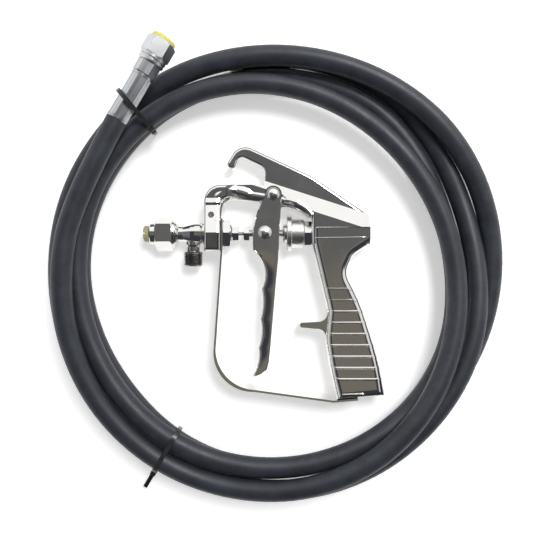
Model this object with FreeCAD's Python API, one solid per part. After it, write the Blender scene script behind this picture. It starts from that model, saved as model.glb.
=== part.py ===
"""Airless paint spray gun lying on its side inside the coil of its own supply hose.

Millimetres, +Z up. The gun is modelled round its spray axis: +X runs back from the tip along
the needle, +Y points away from the handle and +Z is square to the gun's side. The origin of
that working frame is where the trigger's cross screws meet the needle. The last step moves
everything so that the row's origin is the bottom centre of the gun's own box, and the gun lies
with its side on Z = 0.
"""
import FreeCAD, Part
import math
import os
from FreeCAD import Vector as V

# Running and seating clearances
FIT = 0.05            # radial clearance of a pin or rod that moves in its hole
SEAT = 0.10           # gap between faces that face each other but move
SLACK = 0.3           # gap between soft or loosely laid pieces

# Fluid head, stations along the spray axis
INLET_R = 6.58        # G 1/4 male thread, crest radius
INLET_THREAD_LEN = 10.0
INLET_NECK_R = 4.7
INLET_REACH = 23.7    # spray axis to the mouth of the inlet
INLET_BORE_R = 3.0
INLET_X = -52.4
INLET_GROOVE_COUNT = 5
THREAD_PITCH = 1.4
THREAD_DEPTH = 0.8
HEAD_NECK_R = 6.0
HEAD_BULGE_R = 8.3
HEAD_THREAD_R = 8.6   # front thread that takes the retainer nut
HEAD_THREAD_LEN = 9.0
HEAD_SHANK_R = 7.6    # plain shank in the lug
HEAD_TAIL_R = 7.0     # threaded tail behind the lug
HEAD_TAIL_LEN = 7.6
CHAMBER_R = 4.2
PACKING_R = 3.7

# Spray tip and its retainer nut
TIP_FRONT_X = -88.0
TIP_NOSE_R = 5.85
TIP_FLANGE_R = 8.2
TIP_FLANGE_LEN = 2.6
TIP_ORIFICE_R = 0.5
GASKET_LEN = 1.4
RETAINER_AF = 22.0
RETAINER_HEX_LEN = 12.0
RETAINER_COLLAR_R = 8.1
RETAINER_COLLAR_LEN = 4.8
RETAINER_LIP = 1.6
TIP_PROUD = 4.4       # tip nose ahead of the retainer nut

# Casting
LUG_FRONT_X = -43.6
LUG_REAR_X = -31.6
LUG_HALF = 12.0
LUG_BOTTOM_Y = -13.2
BEAM_HALF = 9.0
BEAM_TOP_Y = 34.4
BEAM_UNDER_Y = 25.4
WEB_HALF = 5.5        # hook and web plate
REAR_HALF = 12.0      # rear block
BODY_FACE_X = 33.3
BODY_BACK_X = 74.8
RIB_PROUD = 1.3       # ribs above the grip's flanks
RIB_PITCH = 8.0
RIB_FOOT_GAP = 12.0   # plain part under the last rib, at least
RIB_FIRST_Y = -39.9
RIB_LEN = 1.7         # at a rib's root
RIB_CREST = 0.4       # and at its crest
RIB_SLOPE = 0.65      # height of its slanting sides
GRIP_TOP_Y = 4.0
GRIP_LEDGE = 0.7      # slant of its upper edge
GRIP_EDGE = 5.5       # rounding of the grip's long edges
GRIP_DROP = 119.3     # spray axis to the grip's foot, at its front
GRIP_FOOT_X = 51.3    # front corner of the foot
GRIP_FOOT_DEPTH = 34.4
GRIP_FOOT_RISE = 3.1  # the foot slants up to the rear
EDGE_EASE = 2.6       # rounding of the arch's outer edges
HOOK_EASE = 2.2
RIDGE_FRONT = (0.0, 37.6)  # line where the sloping sides meet the thin plate
RIDGE_BACK_Y = 13.6
RIDGE_FALL = 11.5     # height of the sloping sides
HOOK_TOP = 60.2       # spray axis to the hook plate's upper corner
TRIGGER_FOOT_GAP = 17.4  # trigger's tip above the grip's foot, at rest

# Lug hardware
JAM_AF = 19.0
JAM_LEN = 5.1
LUG_SCREW_X = -38.2
LUG_SCREW_Y = 12.6
LUG_SCREW_R = 2.2
LUG_SCREW_LEN = 7.0

# Needle train
NEEDLE_R = 1.5
BALL_R = 2.0
SEAT_RING_R = 4.1
SEAT_RING_LEN = 3.0
PACKING_NUT_AF = 10.0
PACKING_NUT_HEX = 4.4
COUPLING_AF = 10.0
COUPLING_LEN = 4.0
COUPLING_FRONT_X = -15.5
ROD_R = 2.6
ROD_COLLAR_R = 4.6
ROD_COLLAR_LEN = 1.6
BLOCK_HALF = 6.0      # cross block, along X and Y

# Trigger
PIVOT = (5.9, 27.4)
TRIGGER_INNER = 9.6   # half distance between its two cheeks
TRIGGER_WALL = 2.0
TRIGGER_TOP_R = 6.0
GROOVE_PITCH = 20.8   # of the three finger grooves
KNUCKLE_RISE = 26.9   # from the last groove up to the knuckle
PIVOT_R = 2.5
CROSS_R = 2.4
SLOT_TRAVEL = 0.75    # the slot's extra length towards the pivot
DOME_R = 4.8
DOME_H = 2.5

# Flow adjuster behind the trigger
ADJUSTER_FRONT_X = 13.1
ADJUSTER_NECK_R = 6.4
ADJUSTER_NECK_LEN = 2.7
ADJUSTER_FLANGE_R = 12.75
ADJUSTER_FLANGE_LEN = 3.5
ADJUSTER_BARREL_R = 10.5
LOCK_NUT_AF = 17.0
LOCK_NUT_LEN = 5.0
STUD_R = 6.9
STUD_WALL = 1.5
STUD_DEPTH = 13.0     # how far the stud goes into the casting
SPRING_WIRE_R = 0.55
SPRING_TURNS = 9

# Guard strap
STRAP_HALF = 11.0
STRAP_THICK = 1.5
STRAP_SCREW_R = 2.0
STRAP_SCREW_HEAD_R = 3.8
STRAP_SCREW_LEN = 9.0

# Hose coil
HOSE_D = 14.6
COIL_CENTRE = (6.0, -28.7)
COIL_TURNS = 3.84     # from the tail to the far fitting's closest approach
TAIL_ANGLE = 149.4    # where the tail is square to the coil's radius, degrees
TAIL_RUN = 35.5       # straight run from the ferrule to that place
FAR_R = 158.0         # closest approach of the far fitting's axis to the coil's centre
FAR_RUN = 33.0        # straight run, tube and fitting, before the closest approach
ARC_DIP = 0.3         # room for the centreline's arcs, which pass a little below its places
COIL_STEP = 20.0      # degrees between the places worked out along the turns
COIL_LAST = 1340.0    # the last of them before the far fitting's straight run
# The loose turns lie on and beside each other as they fell. Degrees on from the tail, and there the
# centreline's distance from the coil's centre and its rise above the lowest turns; it eases from one
# to the next.
COIL_RADII = (
    (0, 145.6), (12, 143.6), (94, 155.4), (243, 125.6), (348, 142.3), (425, 138.0), (525, 139.4),
    (586, 130.8), (692, 144.4), (720, 144.4), (780, 139.2), (830, 143.2), (860, 143.4), (906, 157.4),
    (940, 162.0), (1022, 154.4), (1078, 160.4), (1115, 158.5), (1165, 159.8), (1197, 159.8),
    (1305, 146.4), (1372, 162.0))
COIL_RISES = (
    (0, 31.2), (25, 31.0), (98, 16.2), (150, 29.2), (225, 15.0), (360, 15.7), (507, 15.4), (556, 0),
    (930, 0), (978, 15.6), (1035, 15.7), (1078, 0), (1188, 0), (1237, 15.9), (1262, 15.5),
    (1318, 0), (1372, 0))

# Hose fittings
FERRULE_R = 7.55
FERRULE_LEN = 36.0
STEM_AF = 14.0
STEM_HEX_LEN = 8.6
STEM_NIPPLE_R = 4.6
NUT_AF = 18.0
NUT_LEN = 17.0
CAP_FLANGE_R = 8.6
CAP_FLANGE_LEN = 3.0
CAP_WALL = 1.2
CAP_DEPTH = 6.0
FAR_FERRULE_LEN = 30.0
FAR_HEX_LEN = 6.0
FAR_THREAD_LEN = 9.0

# Cable ties
TIE_WIDTH = 4.5
TIE_THICK = 1.3
TIE_HEAD = (7.0, 6.0, 5.2)
TIE_TAIL_LEN = 11.0
FERRULE_TIE_TAIL = 2.5  # cut shorter than the other one
COIL_TIE_ANGLE = 239.0  # round the coil's centre, degrees
FERRULE_TIE_AT = 15.0   # from the ferrule's rear face
SECTION_POINTS = 40     # on each piece of the hose's centreline, to find where a tie crosses it

# Values worked out from those above
CHEEK_OUTER = TRIGGER_INNER + TRIGGER_WALL
GRIP_BOTTOM_FRONT = (GRIP_FOOT_X, -GRIP_DROP)
GRIP_BOTTOM_REAR = (GRIP_FOOT_X + GRIP_FOOT_DEPTH, GRIP_FOOT_RISE - GRIP_DROP)
RIB_COUNT = int((GRIP_DROP - RIB_FOOT_GAP + RIB_FIRST_Y) / RIB_PITCH) + 1
TRIGGER_TIP_Y = TRIGGER_FOOT_GAP - GRIP_DROP
KNUCKLE_Y = TRIGGER_TIP_Y + 3 * GROOVE_PITCH + KNUCKLE_RISE
STRAP_BEND_Y = -GRIP_DROP + 35.3
HALF_THICK = CHEEK_OUTER + SEAT + DOME_H
RIB_HALF = HALF_THICK
GRIP_HALF = RIB_HALF - RIB_PROUD
RETAINER_FRONT_X = TIP_FRONT_X + TIP_PROUD
TIP_FLANGE_X = RETAINER_FRONT_X + RETAINER_COLLAR_LEN + RETAINER_LIP
HEAD_FRONT_X = TIP_FLANGE_X + TIP_FLANGE_LEN + GASKET_LEN
HEAD_TAIL_X = LUG_REAR_X + HEAD_TAIL_LEN
JAM_FRONT_X = LUG_REAR_X + STRAP_THICK
SEAT_RING_X = HEAD_FRONT_X + 1.5
BALL_X = SEAT_RING_X + SEAT_RING_LEN + 0.8
ROD_FRONT_X = COUPLING_FRONT_X + COUPLING_LEN
ADJUSTER_FLANGE_X = ADJUSTER_FRONT_X + ADJUSTER_NECK_LEN
LOCK_NUT_X = BODY_FACE_X - LOCK_NUT_LEN
ADJUSTER_REAR_X = LOCK_NUT_X - SEAT
ADJUSTER_WALL_X = ADJUSTER_FLANGE_X + 1.2
STUD_FRONT_X = ADJUSTER_FLANGE_X + ADJUSTER_FLANGE_LEN + 2.0
STUD_BACK_X = BODY_FACE_X + STUD_DEPTH
LAYER_LOW = HOSE_D / 2 + SLACK + TIE_THICK + ARC_DIP
TAIL_R = COIL_RADII[0][1]
TAIL_Z = LAYER_LOW + COIL_RISES[0][1]
X_AXIS = V(1, 0, 0)
Y_AXIS = V(0, 1, 0)
Z_AXIS = V(0, 0, 1)


def rod(x0, x1, radius, hole=0.0):
    """Round bar or ring along the spray axis."""
    bar = Part.makeCylinder(radius, x1 - x0, V(x0, 0, 0), X_AXIS)
    if hole:
        bar = bar.cut(Part.makeCylinder(hole, x1 - x0, V(x0, 0, 0), X_AXIS))
    return bar


def hexagon(x0, x1, across_flats, hole=0.0, turn=0.0, bevel=0.6):
    """Hexagon bar along the spray axis with bevelled corners, turned by an angle in degrees."""
    corner = across_flats / math.sqrt(3)
    points = []
    for k in range(7):
        angle = math.radians(turn + 60 * k)
        points.append(V(x0, corner * math.cos(angle), corner * math.sin(angle)))
    bar = Part.Face(Part.makePolygon(points)).extrude(V(x1 - x0, 0, 0))
    trim = revolved([(x0, 0), (x0, corner - bevel), (x0 + bevel * 0.6, corner), (x1 - bevel * 0.6, corner),
                     (x1, corner - bevel), (x1, 0)])
    bar = bar.common(trim)
    if hole:
        bar = bar.cut(Part.makeCylinder(hole, x1 - x0 + 2, V(x0 - 1, 0, 0), X_AXIS))
    return bar


def revolved(profile):
    """Solid turned round the spray axis from (x, radius) corners."""
    points = [V(x, r, 0) for x, r in profile]
    points.append(points[0])
    return Part.Face(Part.makePolygon(points)).revolve(V(0, 0, 0), X_AXIS, 360)


def outline(start, steps):
    """Closed flat wire: each step is an end point, or a middle point and an end point of an arc."""
    edges = []
    here = V(start[0], start[1], 0)
    for step in steps:
        end = V(step[-2], step[-1], 0)
        if len(step) == 4:
            edges.append(Part.Arc(here, V(step[0], step[1], 0), end).toShape())
        else:
            edges.append(Part.LineSegment(here, end).toShape())
        here = end
    return Part.Wire(edges)


def rounded(corners):
    """Closed flat wire through corners (x, y) or (x, y, radius); round corners touch both sides."""
    count = len(corners)
    edges = []
    ends = []
    for k in range(count):
        corner = V(corners[k][0], corners[k][1], 0)
        radius = corners[k][2] if len(corners[k]) == 3 else 0.0
        if not radius:
            ends.append((corner, None, corner))
            continue
        before = V(corners[k - 1][0], corners[k - 1][1], 0) - corner
        after = V(corners[(k + 1) % count][0], corners[(k + 1) % count][1], 0) - corner
        before.normalize()
        after.normalize()
        half = before.getAngle(after) / 2
        reach = radius / math.tan(half)
        inwards = before + after
        inwards.normalize()
        middle = corner + inwards * (radius / math.sin(half) - radius)
        ends.append((corner + before * reach, middle, corner + after * reach))
    for k in range(count):
        first, middle, last = ends[k]
        if middle is not None:
            edges.append(Part.Arc(first, middle, last).toShape())
        following = ends[(k + 1) % count][0]
        if (following - last).Length > 1e-6:
            edges.append(Part.LineSegment(last, following).toShape())
    return Part.Wire(edges)


def slab(wire, half, other_half=None):
    """Plate between Z = -half and +half, or between half and other_half."""
    low, high = (-half, half) if other_half is None else (half, other_half)
    face = Part.Face(wire)
    face.translate(V(0, 0, low))
    return face.extrude(V(0, 0, high - low))


def long_edges(solid, height, keep):
    """Edges that lie flat at Z = +height or -height and pass the test keep."""
    found = []
    for edge in solid.Edges:
        box = edge.BoundBox
        if box.ZLength < 0.01 and abs(abs(box.ZMin) - height) < 0.01 and keep(edge.CenterOfMass):
            found.append(edge)
    return found


def eased(solid, height, radius, keep):
    """The solid with its flat long edges rounded."""
    return solid.makeFillet(radius, long_edges(solid, height, keep))


def thread_grooves(x0, length, crest, count):
    """Rings to cut from a round bar so that it looks threaded."""
    pitch = length / count
    grooves = None
    for k in range(count):
        x = x0 + pitch * (k + 0.5)
        half = pitch * 0.32
        ring = revolved([(x - half, crest + 0.5), (x, crest - THREAD_DEPTH), (x + half, crest + 0.5)])
        grooves = ring if grooves is None else grooves.fuse(ring)
    return grooves


def downwards(solid):
    """Turns a solid built along +X so that it points down, along -Y, from the origin."""
    turned = solid.copy()
    turned.rotate(V(0, 0, 0), Z_AXIS, -90)
    return turned


def fluid_head():
    """Tee that carries the fluid from the inlet to the seat, with its shank through the lug."""
    neck_x = HEAD_FRONT_X + HEAD_THREAD_LEN
    body = revolved([
        (HEAD_FRONT_X, 0), (HEAD_FRONT_X, HEAD_THREAD_R - 0.6), (HEAD_FRONT_X + 0.8, HEAD_THREAD_R),
        (neck_x, HEAD_THREAD_R), (neck_x + 1.5, HEAD_NECK_R), (INLET_X - 7.0, HEAD_NECK_R),
        (INLET_X - 1.5, HEAD_BULGE_R - 0.6), (INLET_X + 1.5, HEAD_BULGE_R), (LUG_FRONT_X - 3.2, HEAD_BULGE_R),
        (LUG_FRONT_X - 2.0, HEAD_NECK_R + 1.0), (LUG_FRONT_X - 1.2, HEAD_BULGE_R + 0.7),
        (LUG_FRONT_X, HEAD_BULGE_R + 0.7), (LUG_FRONT_X, HEAD_SHANK_R), (LUG_REAR_X, HEAD_SHANK_R),
        (LUG_REAR_X, HEAD_TAIL_R), (HEAD_TAIL_X - 0.6, HEAD_TAIL_R), (HEAD_TAIL_X, HEAD_TAIL_R - 0.6),
        (HEAD_TAIL_X, 0)])
    thread_top = INLET_REACH - INLET_THREAD_LEN
    branch = revolved([
        (0, 0), (0, INLET_NECK_R + 0.8), (HEAD_BULGE_R, INLET_NECK_R + 0.8), (HEAD_BULGE_R + 1.5, INLET_NECK_R),
        (thread_top - 0.7, INLET_NECK_R), (thread_top, INLET_R), (INLET_REACH - 0.8, INLET_R),
        (INLET_REACH, INLET_R - 0.8), (INLET_REACH, 0)])
    grooved = INLET_GROOVE_COUNT * THREAD_PITCH
    branch = branch.cut(thread_grooves(thread_top + 1.8, grooved, INLET_R, INLET_GROOVE_COUNT))
    branch = downwards(branch)
    branch.translate(V(INLET_X, 0, 0))
    head = body.fuse(branch)
    packing_x = LUG_FRONT_X + 2.0
    head = head.cut(rod(SEAT_RING_X, SEAT_RING_X + SEAT_RING_LEN, SEAT_RING_R))
    head = head.cut(rod(HEAD_FRONT_X - 1, SEAT_RING_X, SEAT_RING_R - 0.8))
    head = head.cut(rod(SEAT_RING_X + SEAT_RING_LEN, INLET_X + 5.0, CHAMBER_R - 0.6))
    head = head.cut(rod(INLET_X + 4.0, packing_x + 1, NEEDLE_R + 4 * FIT))
    head = head.cut(rod(packing_x, HEAD_TAIL_X + 1, PACKING_R))
    drill = Part.makeCylinder(INLET_BORE_R, INLET_REACH + 1, V(INLET_X, 0, 0), V(0, -1, 0))
    return head.cut(drill).removeSplitter()


def spray_tip():
    """Carbide tip with a cat-eye slot across its domed nose and a flange under the nut."""
    tip = revolved([
        (TIP_FRONT_X, 0), (TIP_FRONT_X, TIP_NOSE_R - 0.5), (TIP_FRONT_X + 0.5, TIP_NOSE_R),
        (TIP_FLANGE_X, TIP_NOSE_R), (TIP_FLANGE_X, TIP_FLANGE_R),
        (TIP_FLANGE_X + TIP_FLANGE_LEN, TIP_FLANGE_R), (TIP_FLANGE_X + TIP_FLANGE_LEN, 0)])
    slot = Part.makeBox(1.6, 1.1, 2 * TIP_NOSE_R + 2, V(TIP_FRONT_X - 0.1, -0.55, -TIP_NOSE_R - 1))
    throat = rod(TIP_FRONT_X + 1.0, TIP_FLANGE_X + TIP_FLANGE_LEN, TIP_ORIFICE_R)
    funnel = rod(TIP_FRONT_X + 4.0, TIP_FLANGE_X + TIP_FLANGE_LEN, SEAT_RING_R - 1.6)
    return tip.cut(slot).cut(throat).cut(funnel)


def tip_gasket():
    """Flat sealing ring between the tip and the head."""
    return rod(TIP_FLANGE_X + TIP_FLANGE_LEN, HEAD_FRONT_X, HEAD_THREAD_R - 1.4, SEAT_RING_R - 0.8)


def retainer_nut():
    """Hexagon nut with a round collar that clamps the tip on the head."""
    hex_x = RETAINER_FRONT_X + RETAINER_COLLAR_LEN
    hex_end = hex_x + RETAINER_HEX_LEN
    corner = RETAINER_AF / math.sqrt(3)
    collar = revolved([
        (RETAINER_FRONT_X, 0), (RETAINER_FRONT_X, RETAINER_COLLAR_R - 0.8),
        (RETAINER_FRONT_X + 0.8, RETAINER_COLLAR_R), (hex_x + 0.5, RETAINER_COLLAR_R), (hex_x + 0.5, 0)])
    skirt = revolved([
        (hex_end - 0.5, 0), (hex_end - 0.5, corner - 2.2), (hex_end + 1.6, HEAD_THREAD_R + 1.2),
        (hex_end + 1.6, 0)])
    nut = collar.fuse(hexagon(hex_x, hex_end, RETAINER_AF, 0, 0, 1.4)).fuse(skirt)
    nut = nut.cut(rod(RETAINER_FRONT_X - 1, TIP_FLANGE_X - SEAT + 0.01, TIP_NOSE_R + 3 * FIT))
    nut = nut.cut(rod(TIP_FLANGE_X - SEAT, hex_end + 3, HEAD_THREAD_R + FIT))
    return nut.removeSplitter()


def valve_seat():
    """Carbide ring that the needle's ball closes."""
    ring = rod(SEAT_RING_X, SEAT_RING_X + SEAT_RING_LEN, SEAT_RING_R, 1.2)
    mouth = Part.makeSphere(BALL_R + FIT, V(BALL_X, 0, 0))
    return ring.cut(mouth)


def packing_seal():
    """Chevron seals stacked round the needle in the head's tail."""
    x0 = LUG_FRONT_X + 2.5
    x1 = LUG_REAR_X - 2.0
    rings = 4
    step = (x1 - x0) / rings
    profile = [(x0, NEEDLE_R + FIT)]
    for k in range(rings):
        profile += [(x0 + step * k, PACKING_R - FIT), (x0 + step * (k + 0.8), PACKING_R - FIT),
                    (x0 + step * (k + 0.8), PACKING_R - 0.5), (x0 + step * (k + 1), PACKING_R - 0.5)]
    profile.append((x1, NEEDLE_R + FIT))
    return revolved(profile)


def packing_nut():
    """Small gland nut that presses the seals from behind."""
    hex_x = HEAD_TAIL_X + 0.4
    spigot = rod(LUG_REAR_X - 2.0, hex_x + 0.5, PACKING_R - FIT)
    nut = spigot.fuse(hexagon(hex_x, hex_x + PACKING_NUT_HEX, PACKING_NUT_AF, 0, 30))
    return nut.cut(rod(LUG_REAR_X - 3, hex_x + PACKING_NUT_HEX + 1, NEEDLE_R + FIT))


def jam_nut():
    """Hexagon nut that pulls the head's shank and the strap's tab against the lug."""
    return hexagon(JAM_FRONT_X, JAM_FRONT_X + JAM_LEN, JAM_AF, HEAD_TAIL_R, 30, 1.0)


def needle():
    """Needle with its ball, from the seat to the draw rod."""
    shaft = rod(BALL_X, ROD_FRONT_X + 6.0, NEEDLE_R)
    return shaft.fuse(Part.makeSphere(BALL_R, V(BALL_X, 0, 0)))


def coupling_nut():
    """Nut that locks the needle to the draw rod."""
    return hexagon(COUPLING_FRONT_X, ROD_FRONT_X, COUPLING_AF, NEEDLE_R, 30)


def draw_rod():
    """Rod that carries the needle through the trigger's block into the adjuster."""
    end_x = ADJUSTER_REAR_X - 1.5
    bar = rod(ROD_FRONT_X, end_x, ROD_R)
    collar = rod(ADJUSTER_WALL_X + SEAT, ADJUSTER_WALL_X + SEAT + ROD_COLLAR_LEN, ROD_COLLAR_R)
    return bar.fuse(collar).cut(rod(ROD_FRONT_X - 1, ROD_FRONT_X + 6.0, NEEDLE_R))


def cross_block():
    """Block on the draw rod that the trigger's two cross screws turn in."""
    side = 2 * BLOCK_HALF
    wide = TRIGGER_INNER - 2 * SEAT
    block = Part.makeBox(side, side, 2 * wide, V(-BLOCK_HALF, -BLOCK_HALF, -wide))
    block = block.makeChamfer(0.8, block.Edges)
    block = block.cut(rod(-BLOCK_HALF - 1, BLOCK_HALF + 1, ROD_R))
    return block.cut(Part.makeCylinder(CROSS_R, 4 * TRIGGER_INNER, V(0, 0, -2 * TRIGGER_INNER), Z_AXIS))


def dome(radius, height, base_z, side):
    """Round dome head whose flat underside is at base_z and faces the gun."""
    ball = (radius * radius + height * height) / (2 * height)
    cap = Part.makeSphere(ball, V(0, 0, height - ball))
    cap = cap.common(Part.makeCylinder(radius + 1, height + 1, V(0, 0, 0), Z_AXIS))
    if side < 0:
        cap.rotate(V(0, 0, 0), X_AXIS, 180)
    cap.translate(V(0, 0, side * base_z))
    return cap


def cross_screws():
    """Two dome-headed screws, one through each cheek of the trigger into the block."""
    screws = []
    for side in (1, -1):
        tip = ROD_R + 0.6
        length = CHEEK_OUTER + SEAT - tip
        shank = Part.makeCylinder(CROSS_R, length, V(0, 0, side * tip), V(0, 0, side))
        screws.append(shank.fuse(dome(DOME_R, DOME_H, CHEEK_OUTER + SEAT, side)))
    return Part.makeCompound(screws)


def pivot_screw():
    """Shoulder screw that carries the trigger, with its dome head on the upper side."""
    length = CHEEK_OUTER + SEAT
    shank = Part.makeCylinder(PIVOT_R, 2 * length - 1.6, V(0, 0, 1.6 - length), Z_AXIS)
    screw = shank.fuse(dome(DOME_R, DOME_H, length, 1))
    screw.translate(V(PIVOT[0], PIVOT[1], 0))
    return screw


def pivot_nut():
    """Dome nut on the pivot screw's far end."""
    length = CHEEK_OUTER + SEAT
    nut = dome(DOME_R, DOME_H, length, -1)
    nut = nut.fuse(Part.makeCylinder(PIVOT_R, 1.6, V(0, 0, -length), Z_AXIS))
    nut.translate(V(PIVOT[0], PIVOT[1], 0))
    return nut


def finger_grooves(shift):
    """Front outline of the trigger from its tip up to the knuckle, moved back by shift."""
    tip = TRIGGER_TIP_Y
    ends = [(-4.3 + shift, tip + GROOVE_PITCH - 0.9), (-2.9 + shift, tip + 2 * GROOVE_PITCH - 1.3),
            (-1.9 + shift, tip + 3 * GROOVE_PITCH - 0.4)]
    bows = [(-4.6 + shift, tip + 8.9), (-2.0 + shift, (ends[0][1] + ends[1][1]) / 2),
            (-1.1 + shift, (ends[1][1] + ends[2][1]) / 2)]
    steps = [(bow[0], bow[1], end[0], end[1]) for bow, end in zip(bows, ends)]
    reach = KNUCKLE_Y - ends[2][1]
    return steps, (-0.2 + shift, KNUCKLE_Y - 0.44 * reach), ends[2]


def trigger_outline():
    """Side outline of a cheek: round top, finger grooves in front, plain back, hooked tip."""
    px, py = PIVOT
    r = TRIGGER_TOP_R
    tip = TRIGGER_TIP_Y
    grooves, bow, last = finger_grooves(0.0)
    back = [(px, py + r, px + r, py - 1.5), (10.3, -1.7), (9.7, -18.7), (8.3, -32.3), (5.6, tip + 38.9),
            (4.2, tip + 22.0), (2.9, tip + 9.7), (1.6, tip + 4.5, -2.2, tip + 1.6), (-6.2, tip), (-8.0, tip + 0.5)]
    top = [(bow[0], bow[1], -8.3, KNUCKLE_Y), (-8.6, KNUCKLE_Y + 8.6), (-6.3, 12.0, px - r, py - 1.5)]
    return outline((px - r, py - 1.5), back + grooves + top)


def trigger_web_outline():
    """Side outline of the finger face that joins the cheeks along their front."""
    t = TRIGGER_WALL
    tip = TRIGGER_TIP_Y
    grooves, bow, last = finger_grooves(0.0)
    inner, inner_bow, inner_last = finger_grooves(t)
    steps = grooves + [(bow[0], bow[1], -8.3, KNUCKLE_Y), (-8.3 + t, KNUCKLE_Y - t / 2),
                       (inner_bow[0], inner_bow[1], inner_last[0], inner_last[1])]
    for k in (1, 0):
        steps.append((inner[k + 1][0], inner[k + 1][1], inner[k][2], inner[k][3]))
    steps += [(inner[0][0], inner[0][1], -6.2, tip), (-8.0, tip + 0.5)]
    return outline((-8.0, tip + 0.5), steps)


def cross_slot():
    """Slot in both cheeks that lets the cross screws slide as the trigger swings."""
    px, py = PIVOT
    reach = math.hypot(px, py)
    ux, uy = px / reach, py / reach
    r = CROSS_R + 2 * FIT
    nx, ny = -uy * r, ux * r
    a = (-ux * FIT, -uy * FIT)
    b = (ux * SLOT_TRAVEL, uy * SLOT_TRAVEL)
    wire = outline((a[0] + nx, a[1] + ny), [
        (a[0] - ux * r, a[1] - uy * r, a[0] - nx, a[1] - ny), (b[0] - nx, b[1] - ny),
        (b[0] + ux * r, b[1] + uy * r, b[0] + nx, b[1] + ny), (a[0] + nx, a[1] + ny)])
    return slab(wire, CHEEK_OUTER + 1)


def trigger():
    """Pressed trigger: two cheeks joined by a finger face."""
    side_wire = trigger_outline()
    plate = slab(side_wire, TRIGGER_INNER, CHEEK_OUTER)
    cheek = plate.makeChamfer(0.6, long_edges(plate, CHEEK_OUTER, lambda c: c.z > TRIGGER_INNER + 0.5))
    other = cheek.mirror(V(0, 0, 0), Z_AXIS)
    face = slab(trigger_web_outline(), TRIGGER_INNER + 0.05)
    lever = cheek.fuse(other).fuse(face)
    px, py = PIVOT
    lever = lever.cut(Part.makeCylinder(PIVOT_R + FIT, 4 * CHEEK_OUTER, V(px, py, -2 * CHEEK_OUTER), Z_AXIS))
    return lever.cut(cross_slot()).removeSplitter()


def adjuster_knob():
    """Flow adjuster: neck, thin flange and barrel, threaded on the stud."""
    rear = ADJUSTER_REAR_X
    flange_end = ADJUSTER_FLANGE_X + ADJUSTER_FLANGE_LEN
    body = revolved([
        (ADJUSTER_FRONT_X, 0), (ADJUSTER_FRONT_X, ADJUSTER_NECK_R - 1.0),
        (ADJUSTER_FRONT_X + 1.0, ADJUSTER_NECK_R), (ADJUSTER_FLANGE_X, ADJUSTER_NECK_R),
        (ADJUSTER_FLANGE_X, ADJUSTER_FLANGE_R - 0.5), (ADJUSTER_FLANGE_X + 0.5, ADJUSTER_FLANGE_R),
        (flange_end - 0.5, ADJUSTER_FLANGE_R), (flange_end, ADJUSTER_FLANGE_R - 0.5),
        (flange_end, ADJUSTER_BARREL_R), (rear - 0.6, ADJUSTER_BARREL_R), (rear, ADJUSTER_BARREL_R - 0.6),
        (rear, 0)])
    body = body.cut(rod(ADJUSTER_FRONT_X - 1, rear + 1, ROD_R + 3 * FIT))
    return body.cut(rod(ADJUSTER_WALL_X, rear + 1, STUD_R + FIT))


def spring_stud():
    """Threaded tube screwed into the casting, on which the adjuster turns."""
    tube = rod(STUD_FRONT_X, STUD_BACK_X, STUD_R)
    return tube.cut(rod(STUD_FRONT_X - 1, STUD_BACK_X - 2.0, STUD_R - STUD_WALL))


def lock_nut():
    """Hexagon nut that locks the stud in the casting."""
    return hexagon(LOCK_NUT_X, BODY_FACE_X, LOCK_NUT_AF, STUD_R, 30, 0.8)


def return_spring():
    """Compression spring between the draw rod's collar and the bottom of the stud."""
    x0 = ADJUSTER_WALL_X + SEAT + ROD_COLLAR_LEN + SPRING_WIRE_R + SEAT
    x1 = STUD_BACK_X - 2.0 - SPRING_WIRE_R - SEAT
    mean = STUD_R - STUD_WALL - SPRING_WIRE_R - 3 * SEAT
    helix = Part.makeHelix((x1 - x0) / SPRING_TURNS, x1 - x0, mean)
    circle = Part.Wire(Part.makeCircle(SPRING_WIRE_R, V(mean, 0, 0), Y_AXIS))
    coil = Part.Wire(helix.Edges).makePipeShell([circle], True, True)
    coil.rotate(V(0, 0, 0), Y_AXIS, 90)
    coil.translate(V(x0, 0, 0))
    return coil


def hook_outline():
    """Side outline of the thin plate: hook in front, straight ridge to the back."""
    top = HOOK_TOP
    bx, by = BODY_BACK_X - 0.4, RIDGE_BACK_Y + 0.1
    return rounded([
        (bx, by), (34.0, top - 19.0, 60.0), (-18.5, top + 5.3, 11.0), (-28.9, top - 11.6, 3.0),
        (-22.2, top - 14.8, 3.0), (-18.6, top - 4.3, 3.5), (-0.2, top - 13.0, 7.0), (-0.9, BEAM_TOP_Y, 3.5),
        (-6.4, BEAM_TOP_Y), (-6.4, BEAM_TOP_Y - 4.4), (bx - 2.0, by - 9.0)])


def beam_outline():
    """Side outline of the arch: front lug, beam over the needle, drop to the rear block."""
    return rounded([
        (LUG_FRONT_X, LUG_BOTTOM_Y, 1.5), (LUG_FRONT_X, BEAM_TOP_Y, 12.0), (-1.0, BEAM_TOP_Y),
        RIDGE_FRONT, (BODY_BACK_X, RIDGE_BACK_Y), (BODY_BACK_X, -8.0), (BODY_FACE_X, -8.0),
        (BODY_FACE_X, 15.8, 6.0), (11.1, 21.9, 40.0), (-1.0, BEAM_UNDER_Y), (LUG_REAR_X, BEAM_UNDER_Y, 7.0),
        (LUG_REAR_X, LUG_BOTTOM_Y)])


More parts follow.
